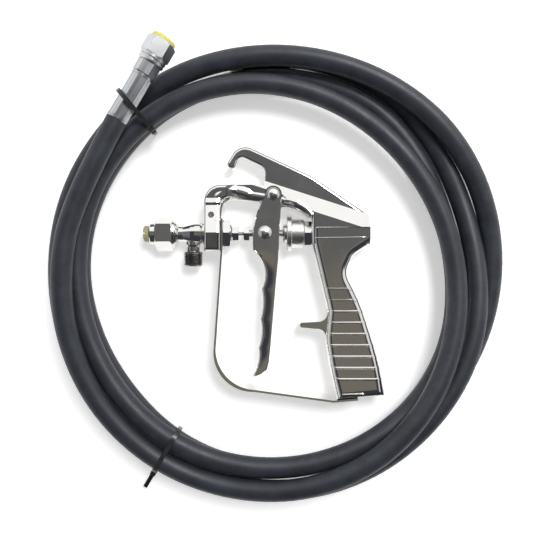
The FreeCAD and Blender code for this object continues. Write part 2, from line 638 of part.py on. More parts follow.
def grip_outline():
    """Side outline of the rear block's lower part and the grip."""
    fx, fy = GRIP_BOTTOM_FRONT
    bx, by = GRIP_BOTTOM_REAR
    return rounded([
        (BODY_FACE_X, GRIP_TOP_Y), (BODY_FACE_X, -7.0, 30.0), (44.9, -56.5, 12.0), (42.9, -76.0, 25.0),
        (fx - 5.9, fy + 27.3, 60.0), (fx, fy), (bx, by), (bx - 5.0, by + 27.2, 200.0), (68.3, -50.0, 120.0),
        (57.6, -28.6, 12.0), (63.2, -16.0, 8.0), (BODY_BACK_X, -8.4), (BODY_BACK_X, GRIP_TOP_Y)])


def side_bevel():
    """Wedge cut from each side of the arch, from the thin ridge down to the full width."""
    front = V(RIDGE_FRONT[0], RIDGE_FRONT[1], 0)
    back = V(BODY_BACK_X, RIDGE_BACK_Y, 0)
    margin = back - front
    start = front - margin
    outside = REAR_HALF + 6
    cutter = None
    for side in (1, -1):
        points = [V(0, 0, side * WEB_HALF), V(0, -RIDGE_FALL, side * (REAR_HALF + 0.01)),
                  V(0, -RIDGE_FALL, side * outside), V(0, 4 * RIDGE_FALL, side * outside),
                  V(0, 4 * RIDGE_FALL, side * WEB_HALF), V(0, 0, side * WEB_HALF)]
        prism = Part.Face(Part.makePolygon([start + p for p in points])).extrude(margin * 3)
        cutter = prism if cutter is None else cutter.fuse(prism)
    return cutter


def waist_cut():
    """Space for the trigger's cheeks beside the beam, with slanting ends."""
    cheek_room = BEAM_HALF
    deep = REAR_HALF + 6
    cutter = None
    for side in (1, -1):
        points = [V(-44.0, 0, side * deep), V(-20.0, 0, side * cheek_room), V(13.0, 0, side * cheek_room),
                  V(BODY_FACE_X, 0, side * deep)]
        points.append(points[0])
        prism = Part.Face(Part.makePolygon([p + V(0, -6.0, 0) for p in points])).extrude(V(0, 80, 0))
        cutter = prism if cutter is None else cutter.fuse(prism)
    return cutter


def grip_ribs(body):
    """Raised bands round the grip, evenly spaced down to its foot."""
    band_body = slab(grip_outline(), RIB_HALF)
    band_body = eased(band_body, RIB_HALF, GRIP_EDGE, lambda c: c.y < -8.0)
    ribs = body
    low = RIB_HALF - RIB_SLOPE
    across = ((-RIB_LEN / 2, -low), (-RIB_CREST / 2, -RIB_HALF), (RIB_CREST / 2, -RIB_HALF), (RIB_LEN / 2, -low),
              (RIB_LEN / 2, low), (RIB_CREST / 2, RIB_HALF), (-RIB_CREST / 2, RIB_HALF), (-RIB_LEN / 2, low))
    for k in range(RIB_COUNT):
        y = RIB_FIRST_Y - RIB_PITCH * k
        corners = [V(20, y + dy, z) for dy, z in across]
        band = Part.Face(Part.makePolygon(corners + corners[:1])).extrude(V(80, 0, 0))
        ribs = ribs.fuse(band_body.common(band))
    return ribs


def finger_spur():
    """Small rest that sticks out of the grip's front under the second finger."""
    wire = outline((44.4, -54.6), [
        (43.6, -60.6, 37.4, -63.6), (25.8, -64.2), (25.0, -66.2, 25.8, -67.6), (36.6, -68.6),
        (42.0, -70.6, 43.6, -76.0), (50.0, -76.0), (50.0, -54.6), (44.4, -54.6)])
    return slab(wire, REAR_HALF - 2.5)


def strap_frame():
    """Place and direction of the grip's foot: the strap and its screw lie square to it."""
    fx, fy = GRIP_BOTTOM_FRONT
    bx, by = GRIP_BOTTOM_REAR
    along = V(bx - fx, by - fy, 0)
    along.normalize()
    inwards = V(-along.y, along.x, 0)
    seat = V(fx, fy, 0) + along * 7.0
    return seat, along, inwards


def gun_casting():
    """Plated casting: lug, beam, hook plate, rear block and ribbed grip in one piece."""
    arch = slab(beam_outline(), REAR_HALF)
    outer = lambda c: c.x < BODY_FACE_X - 3.0 and c.y > LUG_BOTTOM_Y - 1.0
    arch = eased(arch, REAR_HALF, EDGE_EASE, outer)
    arch = arch.cut(side_bevel()).cut(waist_cut())
    hook = slab(hook_outline(), WEB_HALF)
    above = lambda c: c.y > BEAM_TOP_Y - 1.0 and c.x < BODY_BACK_X - 6.0
    hook = eased(hook, WEB_HALF, HOOK_EASE, above)
    grip = slab(grip_outline(), GRIP_HALF)
    grip = eased(grip, GRIP_HALF, GRIP_EDGE, lambda c: c.y < -8.0)
    top_edges = long_edges(grip, GRIP_HALF, lambda c: c.y > GRIP_TOP_Y - 0.1)
    grip = grip.makeChamfer(GRIP_LEDGE, top_edges)
    body = arch.fuse(hook).fuse(grip).fuse(finger_spur())
    body = grip_ribs(body)
    body = body.cut(rod(LUG_FRONT_X - 1, LUG_REAR_X + 1, HEAD_SHANK_R))
    body = body.cut(rod(BODY_FACE_X - 1, STUD_BACK_X, STUD_R))
    px, py = PIVOT
    body = body.cut(Part.makeCylinder(PIVOT_R, 60, V(px, py, -30), Z_AXIS))
    hole_foot = V(LUG_SCREW_X, LUG_SCREW_Y, LUG_HALF - LUG_SCREW_LEN - 1.0)
    screw_hole = Part.makeCylinder(LUG_SCREW_R, LUG_SCREW_LEN + 1.2, hole_foot, Z_AXIS)
    body = body.cut(screw_hole)
    seat, along, inwards = strap_frame()
    body = body.cut(Part.makeCylinder(STRAP_SCREW_R, STRAP_SCREW_LEN, seat - inwards, inwards))
    return body.removeSplitter()


def lug_screw():
    """Grub screw in the side of the lug, with a hexagon socket."""
    z1 = LUG_HALF - 1.0
    z0 = z1 - LUG_SCREW_LEN
    screw = Part.makeCylinder(LUG_SCREW_R, LUG_SCREW_LEN, V(LUG_SCREW_X, LUG_SCREW_Y, z0), Z_AXIS)
    socket = hexagon(0, 2.5, 2.2)
    socket.rotate(V(0, 0, 0), Y_AXIS, -90)
    socket.translate(V(LUG_SCREW_X, LUG_SCREW_Y, z1 - 2.0))
    return screw.cut(socket)


def strap_outline():
    """Side outline of the bent band, from the lug's rear face round to the grip's foot."""
    seat, along, inwards = strap_frame()
    end = seat + along * 8.0
    join = seat - along * 9.5
    t = STRAP_THICK
    rear = LUG_REAR_X
    tab = HEAD_TAIL_R + 3.0
    bend, low = STRAP_BEND_Y, 6.0 - GRIP_DROP
    inner = [(rear + t, tab), (rear + t, LUG_BOTTOM_Y + 2.2), (rear - 5.0 + t, bend),
             (-27.0, low + 8.9 + t, -8.0, low + t)]
    outer = [(-8.0, low), (-28.0, low + 7.7, rear - 5.0, bend), (rear, LUG_BOTTOM_Y - 1.2), (rear, tab)]
    foot = [join, end, end - inwards * t, join - inwards * t]
    return outline(inner[0], inner[1:] + [(p.x, p.y) for p in foot] + outer + [inner[0]])


def guard_strap():
    """Steel band from the lug round the trigger to the grip, with a hole at each end."""
    band = slab(strap_outline(), STRAP_HALF)
    band = band.cut(rod(LUG_REAR_X - 1, LUG_REAR_X + STRAP_THICK + 1, HEAD_TAIL_R))
    seat, along, inwards = strap_frame()
    return band.cut(Part.makeCylinder(STRAP_SCREW_R, 12, seat - inwards * 6, inwards))


def strap_screw():
    """Pan-head screw that fixes the strap under the grip."""
    seat, along, inwards = strap_frame()
    under = seat - inwards * STRAP_THICK
    screw = Part.makeCylinder(STRAP_SCREW_R, STRAP_SCREW_LEN + STRAP_THICK - 2.0, under, inwards)
    head = Part.makeCone(STRAP_SCREW_HEAD_R, STRAP_SCREW_HEAD_R - 1.0, 1.4, under, inwards * -1)
    slot = Part.makeBox(9, 1.0, 0.9, V(-4.5, -0.5, 0))
    slot.transformShape(frame_matrix(along, Z_AXIS, inwards, under - inwards * 1.45))
    return screw.fuse(head).cut(slot)


def frame_matrix(x_dir, y_dir, z_dir, origin):
    """Matrix that carries the world's axes to the given directions and place."""
    return FreeCAD.Matrix(
        x_dir.x, y_dir.x, z_dir.x, origin.x, x_dir.y, y_dir.y, z_dir.y, origin.y,
        x_dir.z, y_dir.z, z_dir.z, origin.z, 0, 0, 0, 1)


def circle_place(angle_deg, radius, forward, z):
    """Point on the line that touches a circle round the coil's centre, forward of the touching point."""
    a = math.radians(angle_deg)
    x = COIL_CENTRE[0] + radius * math.cos(a) - forward * math.sin(a)
    y = COIL_CENTRE[1] + radius * math.sin(a) + forward * math.cos(a)
    return V(x, y, z)


def biarc(p0, t0, p1, t1):
    """Two arcs, tangent to each other, from p0 along t0 to p1 along t1."""
    chord = p1 - p0
    total = t0 + t1
    a = 2 * (t0.dot(t1) - 1)
    b = -2 * chord.dot(total)
    c = chord.dot(chord)
    if abs(a) < 1e-9:
        d = -c / b
    else:
        d = (-b - math.sqrt(b * b - 4 * a * c)) / (2 * a)
    q0 = p0 + t0 * d
    q1 = p1 - t1 * d
    joint = (q0 + q1) * 0.5
    pieces = []
    for start, corner, end in ((p0, q0, joint), (joint, q1, p1)):
        weight = (end - start).Length / (2 * d)
        middle = (start + corner * (2 * weight) + end) * (1 / (2 + 2 * weight))
        pieces.append((start, middle, end))
    return pieces


def eased_along(steps, angle):
    """Value at an angle, easing along half a cosine wave from each step's value to the next."""
    for (from_angle, from_value), (to_angle, to_value) in zip(steps, steps[1:]):
        if angle <= to_angle:
            part_way = (angle - from_angle) / (to_angle - from_angle)
            return from_value + (to_value - from_value) * (1 - math.cos(math.pi * part_way)) / 2
    return steps[-1][1]


def passing(before, here, after):
    """Direction at a point of the circle through it and its two neighbours."""
    come = here - before
    go = after - here
    direction = come * (1 / come.dot(come)) + go * (1 / go.dot(go))
    direction.normalize()
    return direction


def hose_route():
    """The centreline as a list of straight and round pieces from the tail's ferrule to the far one."""
    start = circle_place(TAIL_ANGLE, TAIL_R, -TAIL_RUN, TAIL_Z)
    far_angle = TAIL_ANGLE + 360 * COIL_TURNS
    far_start = circle_place(far_angle, FAR_R, -FAR_RUN, LAYER_LOW)
    far_end = circle_place(far_angle, FAR_R, -(FAR_RUN - HOSE_D), LAYER_LOW)
    points = []
    for k in range(int(COIL_LAST / COIL_STEP) + 1):
        turned = k * COIL_STEP
        radius = eased_along(COIL_RADII, turned)
        rise = eased_along(COIL_RISES, turned)
        points.append(circle_place(TAIL_ANGLE + turned, radius, 0, LAYER_LOW + rise))
    points.append(far_start)
    tail_dir = points[0] - start
    far_dir = far_end - far_start
    tail_dir.normalize()
    far_dir.normalize()
    directions = [tail_dir]
    for k in range(1, len(points) - 1):
        directions.append(passing(points[k - 1], points[k], points[k + 1]))
    directions.append(far_dir)
    pieces = [(start, points[0])]
    for k in range(len(points) - 1):
        pieces += biarc(points[k], directions[k], points[k + 1], directions[k + 1])
    pieces.append((far_start, far_end))
    return pieces


def route_edges(pieces):
    """Edges of a route whose pieces have two points, a line, or three, an arc."""
    edges = []
    for piece in pieces:
        if len(piece) == 2:
            edges.append(Part.LineSegment(piece[0], piece[1]).toShape())
        else:
            edges.append(Part.Arc(piece[0], piece[1], piece[2]).toShape())
    return edges


def tube(pieces, radius):
    """Unbroken round tube along a route."""
    path = Part.Wire(route_edges(pieces))
    first = pieces[0]
    circle = Part.Wire(Part.makeCircle(radius, first[0], first[1] - first[0]))
    return path.makePipeShell([circle], True, False)


def least_gap(pieces, spacing=4.0):
    """Least distance between the tube's own turns, wall to wall, measured on points of its centreline."""
    points = []
    for edge in route_edges(pieces):
        count = max(2, int(edge.Length / spacing))
        points += edge.discretize(count)[:-1]
    run = [0.0]
    for k in range(1, len(points)):
        run.append(run[-1] + (points[k] - points[k - 1]).Length)
    least = 1e9
    for i in range(len(points)):
        for j in range(i + 1, len(points)):
            if run[j] - run[i] > 12 * HOSE_D:
                least = min(least, (points[j] - points[i]).Length)
    return least - HOSE_D


def report_route(pieces):
    """Prints the hose's length, its arcs' least radius and its least gap to itself."""
    edges = route_edges(pieces)
    length = sum(e.Length for e in edges)
    radii = [e.Curve.Radius for e in edges if hasattr(e.Curve, "Radius")]
    print("hose length %.1f mm, arc radii %.1f to %.1f mm" % (length, min(radii), max(radii)))
    print("hose radii", " ".join("%.0f" % r for r in radii))
    print("least gap of the hose to itself %.2f mm" % least_gap(pieces))


def along_axis(solid, start, direction):
    """Carries a solid built along +X from the origin to a place and direction in the coil's frame."""
    side = Z_AXIS.cross(direction)
    side.normalize()
    up = direction.cross(side)
    moved = solid.copy()
    moved.transformShape(frame_matrix(direction, side, up, start))
    return moved


def crimped_ferrule(length):
    """Crimped sleeve: plain lips with eight pressed flats between them."""
    lip = 2.4
    sleeve = revolved([(0, 0), (0, FERRULE_R - 0.5), (0.5, FERRULE_R), (length - 0.8, FERRULE_R),
                       (length, FERRULE_R - 0.8), (length, 0)])
    flats = None
    for k in range(8):
        flat = Part.makeBox(length - 2 * lip, 8, 4, V(lip, -4, FERRULE_R - 0.45))
        flat.rotate(V(0, 0, 0), X_AXIS, 45 * k + 22.5)
        flats = flat if flats is None else flats.fuse(flat)
    sleeve = sleeve.cut(flats)
    return sleeve.cut(rod(-1, length + 1, STEM_NIPPLE_R))


def swivel_stem():
    """Steel insert: nipple through the ferrule, hexagon, and the neck that the nut turns on."""
    hex_x = FERRULE_LEN
    stem = rod(0, hex_x + 0.5, STEM_NIPPLE_R)
    stem = stem.fuse(hexagon(hex_x, hex_x + STEM_HEX_LEN, STEM_AF, 0, 12, 0.7))
    neck_end = hex_x + STEM_HEX_LEN + NUT_LEN - CAP_DEPTH - 2.0
    stem = stem.fuse(rod(hex_x + STEM_HEX_LEN - 0.5, neck_end, STEM_NIPPLE_R + 0.8))
    return stem.cut(rod(-1, neck_end + 1, INLET_BORE_R))


def swivel_nut():
    """Union nut with a grooved round collar behind its hexagon and a threaded mouth."""
    x0 = FERRULE_LEN + STEM_HEX_LEN + SEAT
    collar_len = 6.0
    x1 = x0 + NUT_LEN
    corner = NUT_AF / math.sqrt(3)
    shape = revolved([
        (x0, 0), (x0, corner - 2.4), (x0 + 0.9, corner - 1.2), (x0 + 2.0, corner - 1.2), (x0 + 2.3, corner - 1.7),
        (x0 + 3.1, corner - 1.7), (x0 + 3.4, corner - 0.9), (x0 + 4.6, corner - 0.9), (x0 + 4.9, corner - 1.5),
        (x0 + collar_len, corner - 1.5), (x0 + collar_len, 0)])
    nut = shape.fuse(hexagon(x0 + collar_len - 0.5, x1, NUT_AF, 0, 18, 1.0))
    nut = nut.cut(rod(x0 - 1, x1 + 1, STEM_NIPPLE_R + 0.8 + FIT))
    mouth_x = x1 - CAP_DEPTH - 1.0
    return nut.cut(rod(mouth_x, x1 + 1, INLET_R + FIT)).removeSplitter()


def near_cap():
    """Soft plug pushed into the swivel nut's thread."""
    x1 = FERRULE_LEN + STEM_HEX_LEN + SEAT + NUT_LEN
    plug = rod(x1 - CAP_DEPTH, x1 + 0.5, INLET_R)
    flange = revolved([(x1 + SEAT, 0), (x1 + SEAT, CAP_FLANGE_R), (x1 + CAP_FLANGE_LEN - 0.8, CAP_FLANGE_R),
                       (x1 + CAP_FLANGE_LEN, CAP_FLANGE_R - 0.8), (x1 + CAP_FLANGE_LEN, 0)])
    return plug.fuse(flange)


def far_stem():
    """Fixed male end of the hose: nipple, hexagon and thread."""
    hex_x = FAR_FERRULE_LEN
    x1 = hex_x + FAR_HEX_LEN
    stem = rod(0, hex_x + 0.5, STEM_NIPPLE_R)
    stem = stem.fuse(hexagon(hex_x, x1, STEM_AF, 0, 0, 0.7))
    thread = rod(x1 - 0.5, x1 + FAR_THREAD_LEN, INLET_R)
    grooved = INLET_GROOVE_COUNT * THREAD_PITCH
    stem = stem.fuse(thread.cut(thread_grooves(x1 + 0.8, grooved, INLET_R, INLET_GROOVE_COUNT)))
    return stem.cut(rod(-1, x1 + FAR_THREAD_LEN + 1, INLET_BORE_R)).removeSplitter()


def far_cap():
    """Soft cap pushed over the male thread."""
    x0 = FAR_FERRULE_LEN + FAR_HEX_LEN + SEAT
    x1 = x0 + FAR_THREAD_LEN + CAP_WALL
    outside = revolved([(x0, 0), (x0, INLET_R + CAP_WALL), (x1 - 0.6, INLET_R + CAP_WALL),
                        (x1, INLET_R + CAP_WALL - 0.6), (x1, 0)])
    return outside.cut(rod(x0 - 1, x0 + FAR_THREAD_LEN - SEAT, INLET_R))


def hull(points):
    """Corners of the convex hull of flat points, counter-clockwise."""
    def half(ordered):
        chain = []
        for p in ordered:
            while len(chain) > 1:
                a, b = chain[-2], chain[-1]
                if (b[0] - a[0]) * (p[1] - a[1]) - (b[1] - a[1]) * (p[0] - a[0]) > 0:
                    break
                chain.pop()
            chain.append(p)
        return chain[:-1]
    ordered = sorted(points)
    return half(ordered) + half(ordered[::-1])


def loop_wire(centres, radius):
    """Outline of a band pulled round equal circles: their hull, drawn out by the radius."""
    corners = hull(centres)
    edges = []
    count = len(corners)
    sides = []
    for k in range(count):
        a, b = corners[k], corners[(k + 1) % count]
        length = math.hypot(b[0] - a[0], b[1] - a[1])
        nx, ny = (b[1] - a[1]) / length * radius, -(b[0] - a[0]) / length * radius
        sides.append((V(a[0] + nx, a[1] + ny, 0), V(b[0] + nx, b[1] + ny, 0)))
    for k in range(count):
        here, following = sides[k], sides[(k + 1) % count]
        edges.append(Part.LineSegment(here[0], here[1]).toShape())
        corner = corners[(k + 1) % count]
        middle = (here[1] + following[0]) * 0.5 - V(corner[0], corner[1], 0)
        if middle.Length < 1e-6:
            middle = V(sides[k][1].x - here[0].x, sides[k][1].y - here[0].y, 0)
        middle.normalize()
        edges.append(Part.Arc(here[1], V(corner[0], corner[1], 0) + middle * radius, following[0]).toShape())
    return Part.Wire(edges)


def band_tie(centres, radius, head_at, head_angle, tail_len):
    """Cable tie in its own plane: the band, the head on the hull's outside and the cut tail."""
    inner = loop_wire(centres, radius + SLACK)
    outer = loop_wire(centres, radius + SLACK + TIE_THICK)
    band = Part.Face(outer).extrude(V(0, 0, TIE_WIDTH)).cut(Part.Face(inner).extrude(V(0, 0, TIE_WIDTH)))
    length, deep, wide = TIE_HEAD
    a = math.radians(head_angle)
    out = V(math.cos(a), math.sin(a), 0)
    across = V(-math.sin(a), math.cos(a), 0)
    place = V(head_at[0], head_at[1], TIE_WIDTH / 2) + out * (radius + SLACK + 0.2)
    head = Part.makeBox(deep, length, wide + 1.0, V(0, -length / 2, -(wide + 1.0) / 2))
    head = head.makeChamfer(0.7, head.Edges)
    head.transformShape(frame_matrix(out, across, Z_AXIS, place))
    tail = Part.makeBox(tail_len, TIE_THICK, TIE_WIDTH, V(0, -TIE_THICK / 2, -TIE_WIDTH / 2))
    tail.transformShape(frame_matrix(out, across, Z_AXIS, place + out * (deep - 0.5)))
    return band.fuse(head).fuse(tail)


def coil_section(angle_deg):
    """Where the hose crosses the half plane at an angle round the coil's centre: radius and height."""
    a = math.radians(angle_deg)
    radial = V(math.cos(a), math.sin(a), 0)
    forwards = V(-math.sin(a), math.cos(a), 0)
    centre = V(COIL_CENTRE[0], COIL_CENTRE[1], 0)
    found = []
    for edge in route_edges(hose_route()):
        points = edge.discretize(SECTION_POINTS)
        for here, there in zip(points, points[1:]):
            before = (here - centre).dot(forwards)
            after = (there - centre).dot(forwards)
            if before < 0 <= after and (here - centre).dot(radial) > 0:
                place = here + (there - here) * (before / (before - after))
                found.append(((place - centre).dot(radial), place.z))
    return found


def in_half_plane(solid, angle_deg):
    """Carries a solid drawn in radius and height to the half plane at an angle round the coil's centre."""
    a = math.radians(angle_deg)
    radial = V(math.cos(a), math.sin(a), 0)
    backwards = V(math.sin(a), -math.cos(a), 0)
    origin = V(COIL_CENTRE[0], COIL_CENTRE[1], 0) - backwards * (TIE_WIDTH / 2)
    moved = solid.copy()
    moved.transformShape(frame_matrix(radial, Z_AXIS, backwards, origin))
    return moved


def coil_tie():
    """Cable tie round all the turns at the lower left of the coil."""
    section = coil_section(COIL_TIE_ANGLE)
    outermost = max(section)
    band = band_tie(section, HOSE_D / 2, outermost, 0.0, TIE_TAIL_LEN)
    return in_half_plane(band, COIL_TIE_ANGLE)


def ferrule_tie():
    """Cable tie that holds the near fitting down on the coil."""
    place = circle_place(TAIL_ANGLE, TAIL_R, -TAIL_RUN - FERRULE_TIE_AT, TAIL_Z)
    flat = place - V(COIL_CENTRE[0], COIL_CENTRE[1], 0)
    angle = math.degrees(math.atan2(flat.y, flat.x))
    radius = math.hypot(flat.x, flat.y)
    band_r = FERRULE_R + 0.9
    section = [(r, z + band_r - HOSE_D / 2) for r, z in coil_section(angle)]
    section.append((radius, TAIL_Z))
    innermost = min(section)
    band = band_tie(section, band_r, innermost, 180.0, FERRULE_TIE_TAIL)
    return in_half_plane(band, angle)


def gun_pieces():
    """Every piece of the gun, by node name, in the working frame."""
    return {
        "gun_casting": gun_casting(), "fluid_head": fluid_head(), "jam_nut": jam_nut(),
        "packing_seal": packing_seal(), "packing_nut": packing_nut(), "valve_seat": valve_seat(),
        "lug_screw": lug_screw(), "guard_strap": guard_strap(), "strap_screw": strap_screw(),
        "pivot_screw": pivot_screw(), "pivot_nut": pivot_nut(), "spring_stud": spring_stud(),
        "lock_nut": lock_nut(), "tip_gasket": tip_gasket(), "spray_tip": spray_tip(),
        "retainer_nut": retainer_nut(), "needle": needle(), "coupling_nut": coupling_nut(),
        "draw_rod": draw_rod(), "cross_block": cross_block(), "cross_screws": cross_screws(),
        "trigger": trigger(), "adjuster_knob": adjuster_knob(), "return_spring": return_spring()}


def hose_pieces():
    """The hose, its fittings and its ties, by node name, with Z = 0 on the floor."""
    pieces = hose_route()
    report_route(pieces)
    start = pieces[0][0]
    outwards = start - pieces[0][1]
    outwards.normalize()
    far_end = pieces[-1][1]
    far_dir = far_end - pieces[-1][0]
    far_dir.normalize()
    near = {"near_ferrule": crimped_ferrule(FERRULE_LEN), "near_stem": swivel_stem(),
            "swivel_nut": swivel_nut(), "near_cap": near_cap()}
    far = {"far_ferrule": crimped_ferrule(FAR_FERRULE_LEN), "far_stem": far_stem(), "far_cap": far_cap()}
    placed = {"hose": tube(pieces, HOSE_D / 2)}
    for name, solid in near.items():
        placed[name] = along_axis(solid, start, outwards)
    for name, solid in far.items():
        placed[name] = along_axis(solid, far_end, far_dir)
    placed["coil_tie"] = coil_tie()
    placed["ferrule_tie"] = ferrule_tie()
    return placed


def frame_shift(gun):
    """Move that puts the bottom centre of the gun's box at the origin."""
    box = FreeCAD.BoundBox()
    for shape in gun.values():
        box.add(shape.optimalBoundingBox())
    return V(-(box.XMin + box.XMax) / 2, -(box.YMin + box.YMax) / 2, -box.ZMin)


def main():
    """Builds every piece, moves it to the row's frame and writes it."""
    os.makedirs("parts", exist_ok=True)
    gun = gun_pieces()
    hose = hose_pieces()
    shift = frame_shift(gun)
    print("working frame moved by %.4f %.4f %.4f" % (shift.x, shift.y, shift.z))
    for name, shape in gun.items():
        shape.translate(shift)
        shape.exportStep("parts/%s.step" % name)
    for name, shape in hose.items():
        shape.translate(V(shift.x, shift.y, 0))
        shape.exportStep("parts/%s.step" % name)
    for name, shape in {**gun, **hose}.items():
        print("%-16s solids %d valid %s volume %.1f" % (name, len(shape.Solids), shape.isValid(), shape.Volume))


if __name__ == "__main__":
    main()
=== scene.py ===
"""Airless paint spray gun inside the coil of its own hose, seen from straight above on a white floor."""

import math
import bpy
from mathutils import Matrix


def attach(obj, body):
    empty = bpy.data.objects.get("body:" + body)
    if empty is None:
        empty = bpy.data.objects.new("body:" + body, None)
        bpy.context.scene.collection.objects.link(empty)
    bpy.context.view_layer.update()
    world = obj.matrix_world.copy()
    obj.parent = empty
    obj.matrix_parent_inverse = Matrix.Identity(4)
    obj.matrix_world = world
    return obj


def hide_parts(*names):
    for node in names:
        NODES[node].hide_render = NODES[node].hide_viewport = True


bl_info = {
    "name": "Airless spray gun and hose",
    "version": (1, 0, 0),
    "blender": (4, 5, 0),
    "location": "View3D > Sidebar > Spray gun",
    "description": "Dresses the packed spray gun and its hose coil and sets its studio",
    "category": "Object",
}

import bmesh
import bpy
import numpy as np
from mathutils import Vector

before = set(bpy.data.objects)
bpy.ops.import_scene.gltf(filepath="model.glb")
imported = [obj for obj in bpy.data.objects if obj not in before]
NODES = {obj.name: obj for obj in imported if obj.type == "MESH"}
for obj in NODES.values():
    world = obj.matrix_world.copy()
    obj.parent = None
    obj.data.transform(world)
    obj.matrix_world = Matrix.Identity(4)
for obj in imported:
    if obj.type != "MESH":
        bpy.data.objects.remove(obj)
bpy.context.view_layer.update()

MM = 0.001

# The gun's working frame, whose origin is where the trigger meets the needle, in the row's frame
GUN = (0.00115, 0.0296971, 0.0142)

# Camera: straight above the part, a little off its middle, as the photograph was taken
CAMERA_TO_MIDDLE = 0.42       # to the gun's middle height
CAMERA_PLACE = (0.00975, -0.0019, GUN[2] + CAMERA_TO_MIDDLE)
CAMERA_HALF_WIDTH = 0.2022    # half the picture's width at the gun's middle height
# Each lamp's place, and whether it lights the matt share of the surfaces or the glossy one
LAMPS = {"soft_lamp": ((0.31, 0.43, 1.12), True), "gloss_lamp": ((0.45, 0.62, 1.0), False)}
LAMP_SIZE = 0.42
FLOOR_GLOW = 0.40             # lifts the floor to white where the camera or gloss sees it
WINDOW_WAY = (0.86, 0.30, 0.42)  # direction of the studio's window, as reflections show it

# The gun's own forms, in millimetres in its working frame
KNUCKLE_Y = -12.6             # the trigger is drawn anew from here down to its tip
LEVER_TIP_Y = -101.9
GROOVE_PITCH = 20.8
CHEEK_INNER, CHEEK_OUTER = 9.6, 11.6
LEVER_PROUD = 0.7             # the lever's finger face stands this far before the bent edge's line
LEVER_LEAN = 1.3              # how far its cheeks lean in towards the finger face
LEVER_FADE = 14.0             # below the knuckle, over which the pressed form grows out of the cheeks
LEVER_TIP_PLAIN = 2.0         # above the tip, without any lean
LEVER_TIP_FLAT = 16.0         # over this length above that the lean fades in
LEVER_EDGE_R = 0.7            # rounding of the sheet's edges
LEVER_BEND_MORE = 1.5         # what the bend's radius has more, below the fade
LEVER_CREASE = 28             # degrees, past which an edge shows as sharp
HEM_POINTS, CHEEK_POINTS, BEND_POINTS = 4, 9, 8  # across the sheet's edge, a cheek and the bend
# The lever's rear edge: Y and X
LEVER_BACK = (
    (-101.9, -6.2), (-101.2, -3.6), (-100.3, -2.2), (-97.4, 1.6), (-92.2, 2.9), (-79.9, 4.2),
    (-63.0, 5.6), (-32.3, 8.3), (-18.7, 9.7), (-1.7, 10.3))
# Height of the crowned lug against Y, from 0 to 1 of FORM_DEPTH
LUG_FORM = ((-14.0, 0.35), (0.0, 0.86), (19.5, 0.04), (21.3, 0.12), (24.5, 0.0), (36.0, 0.0))
FORM_DEPTH = 6.5
FORM_FADE_X = 4.0             # the crown fades out over this length on each side of X = 0
FORM_FLOOR_Y = (-14.5, -13.9)  # and ends between these heights
SWELL_HEIGHT = 0.9            # of the polished casting's low waves
# Under edge of the arch, from the lug round to the rear block: place, radius of its rounding and the
# width of the slope beyond it
ARCH_EDGE = (
    (-31.0, 8.4, 3.0, 1.5), (-30.7, 13.8, 3.8, 1.3), (-29.9, 18.5, 5.5, 2.0), (-27.9, 21.8, 7.5, 2.4),
    (-24.3, 23.6, 7.5, 2.3), (-19.0, 23.7, 6.8, 3.0), (-11.8, 22.8, 5.5, 4.2), (-4.7, 22.0, 5.0, 4.5),
    (3.0, 20.8, 5.0, 4.2), (11.6, 19.0, 5.0, 3.4), (17.9, 17.8, 5.0, 2.4), (23.8, 15.7, 4.5, 1.8),
    (28.0, 13.0, 4.0, 1.6), (31.4, 9.9, 3.0, 1.5))
# X, and half the arch's width there
ARCH_CREST = ((-28.3, 12.5), (-20.5, 10.0), (-13.0, 9.9), (-9.0, 9.42), (12.0, 9.42), (20.5, 12.45))
ARCH_SLOPE = 0.27             # fall of its outer side, as a share of the width
ARCH_CREASE = 50              # degrees
THREAD_TOP = 13.7             # spray axis to the top of the inlet's thread
THREAD_PITCH = 1.4
THREAD_FIRST = 1.8            # from its top to the middle of its first groove
OXIDE_AND_SHADE_FADE = (-5.5, 0.5)      # below its top, where the dull oxide and the painted shade of the grooves start and where they are full
FLANK_Z = 12.9                # the grip's flat sides
# Raised lines on the grip's flanks: name, both ends and radius
GRIP_LINES = (
    ("panel_line", (34.6, -3.9), (71.8, -3.3), 0.35),
    ("foot_line", (54.6, -114.9), (70.6, -114.4), 0.6))
LINE_POINTS = 24

# Hose route in the row's frame, in metres. Its turns are those of the part's source, moved so that
# the coil's edges meet the photograph's: the third one by up to 6 mm, the others by up to 3 mm.
HOSE_D = 0.0146
COIL_CENTRE = (0.00715, 0.000997)
COIL_TURNS = 3.84             # from the tail to the far fitting's closest approach
TAIL_ANGLE = 149.4            # where the tail is square to the coil's radius, degrees
TAIL_RUN = 0.0355             # straight run from the ferrule to that place
FAR_ANGLE = TAIL_ANGLE + 360 * COIL_TURNS
FAR_R = 0.158                 # closest approach of the far fitting's axis to the coil's centre
FAR_RUN = 0.033               # straight run before it
LOW_AXIS = 0.0092             # height of the lowest turns' centreline
COIL_STEP = 20.0              # degrees between the route's points
COIL_LAST = 1350.0
# Degrees on from the tail, and there the centreline's distance from the coil's centre and its rise
# above the lowest turns, in millimetres; it eases from one to the next.
COIL_RADII = (
    (0, 145.6), (12, 143.6), (94, 155.4), (249, 125.0), (348, 142.3), (415, 138.8), (450, 139.4),
    (505, 138.2), (540, 140.0), (587, 130.8), (640, 144.2), (662, 143.2), (684, 145.4), (706, 144.4),
    (735, 143.6), (786, 138.9), (830, 145.0), (860, 143.4), (906, 157.4), (940, 162.0), (1022, 154.4),
    (1078, 160.4), (1115, 158.5), (1165, 159.8), (1197, 159.6), (1240, 153.8), (1260, 151.6),
    (1303, 146.0), (1372, 162.0))
COIL_RISES = (
    (0, 31.2), (25, 31.0), (98, 16.2), (150, 29.2), (225, 15.0), (360, 15.7), (507, 15.4), (556, 0),
    (930, 0), (978, 15.6), (1035, 15.7), (1078, 0), (1188, 0), (1237, 15.9), (1262, 15.5),
    (1318, 0), (1372, 0))
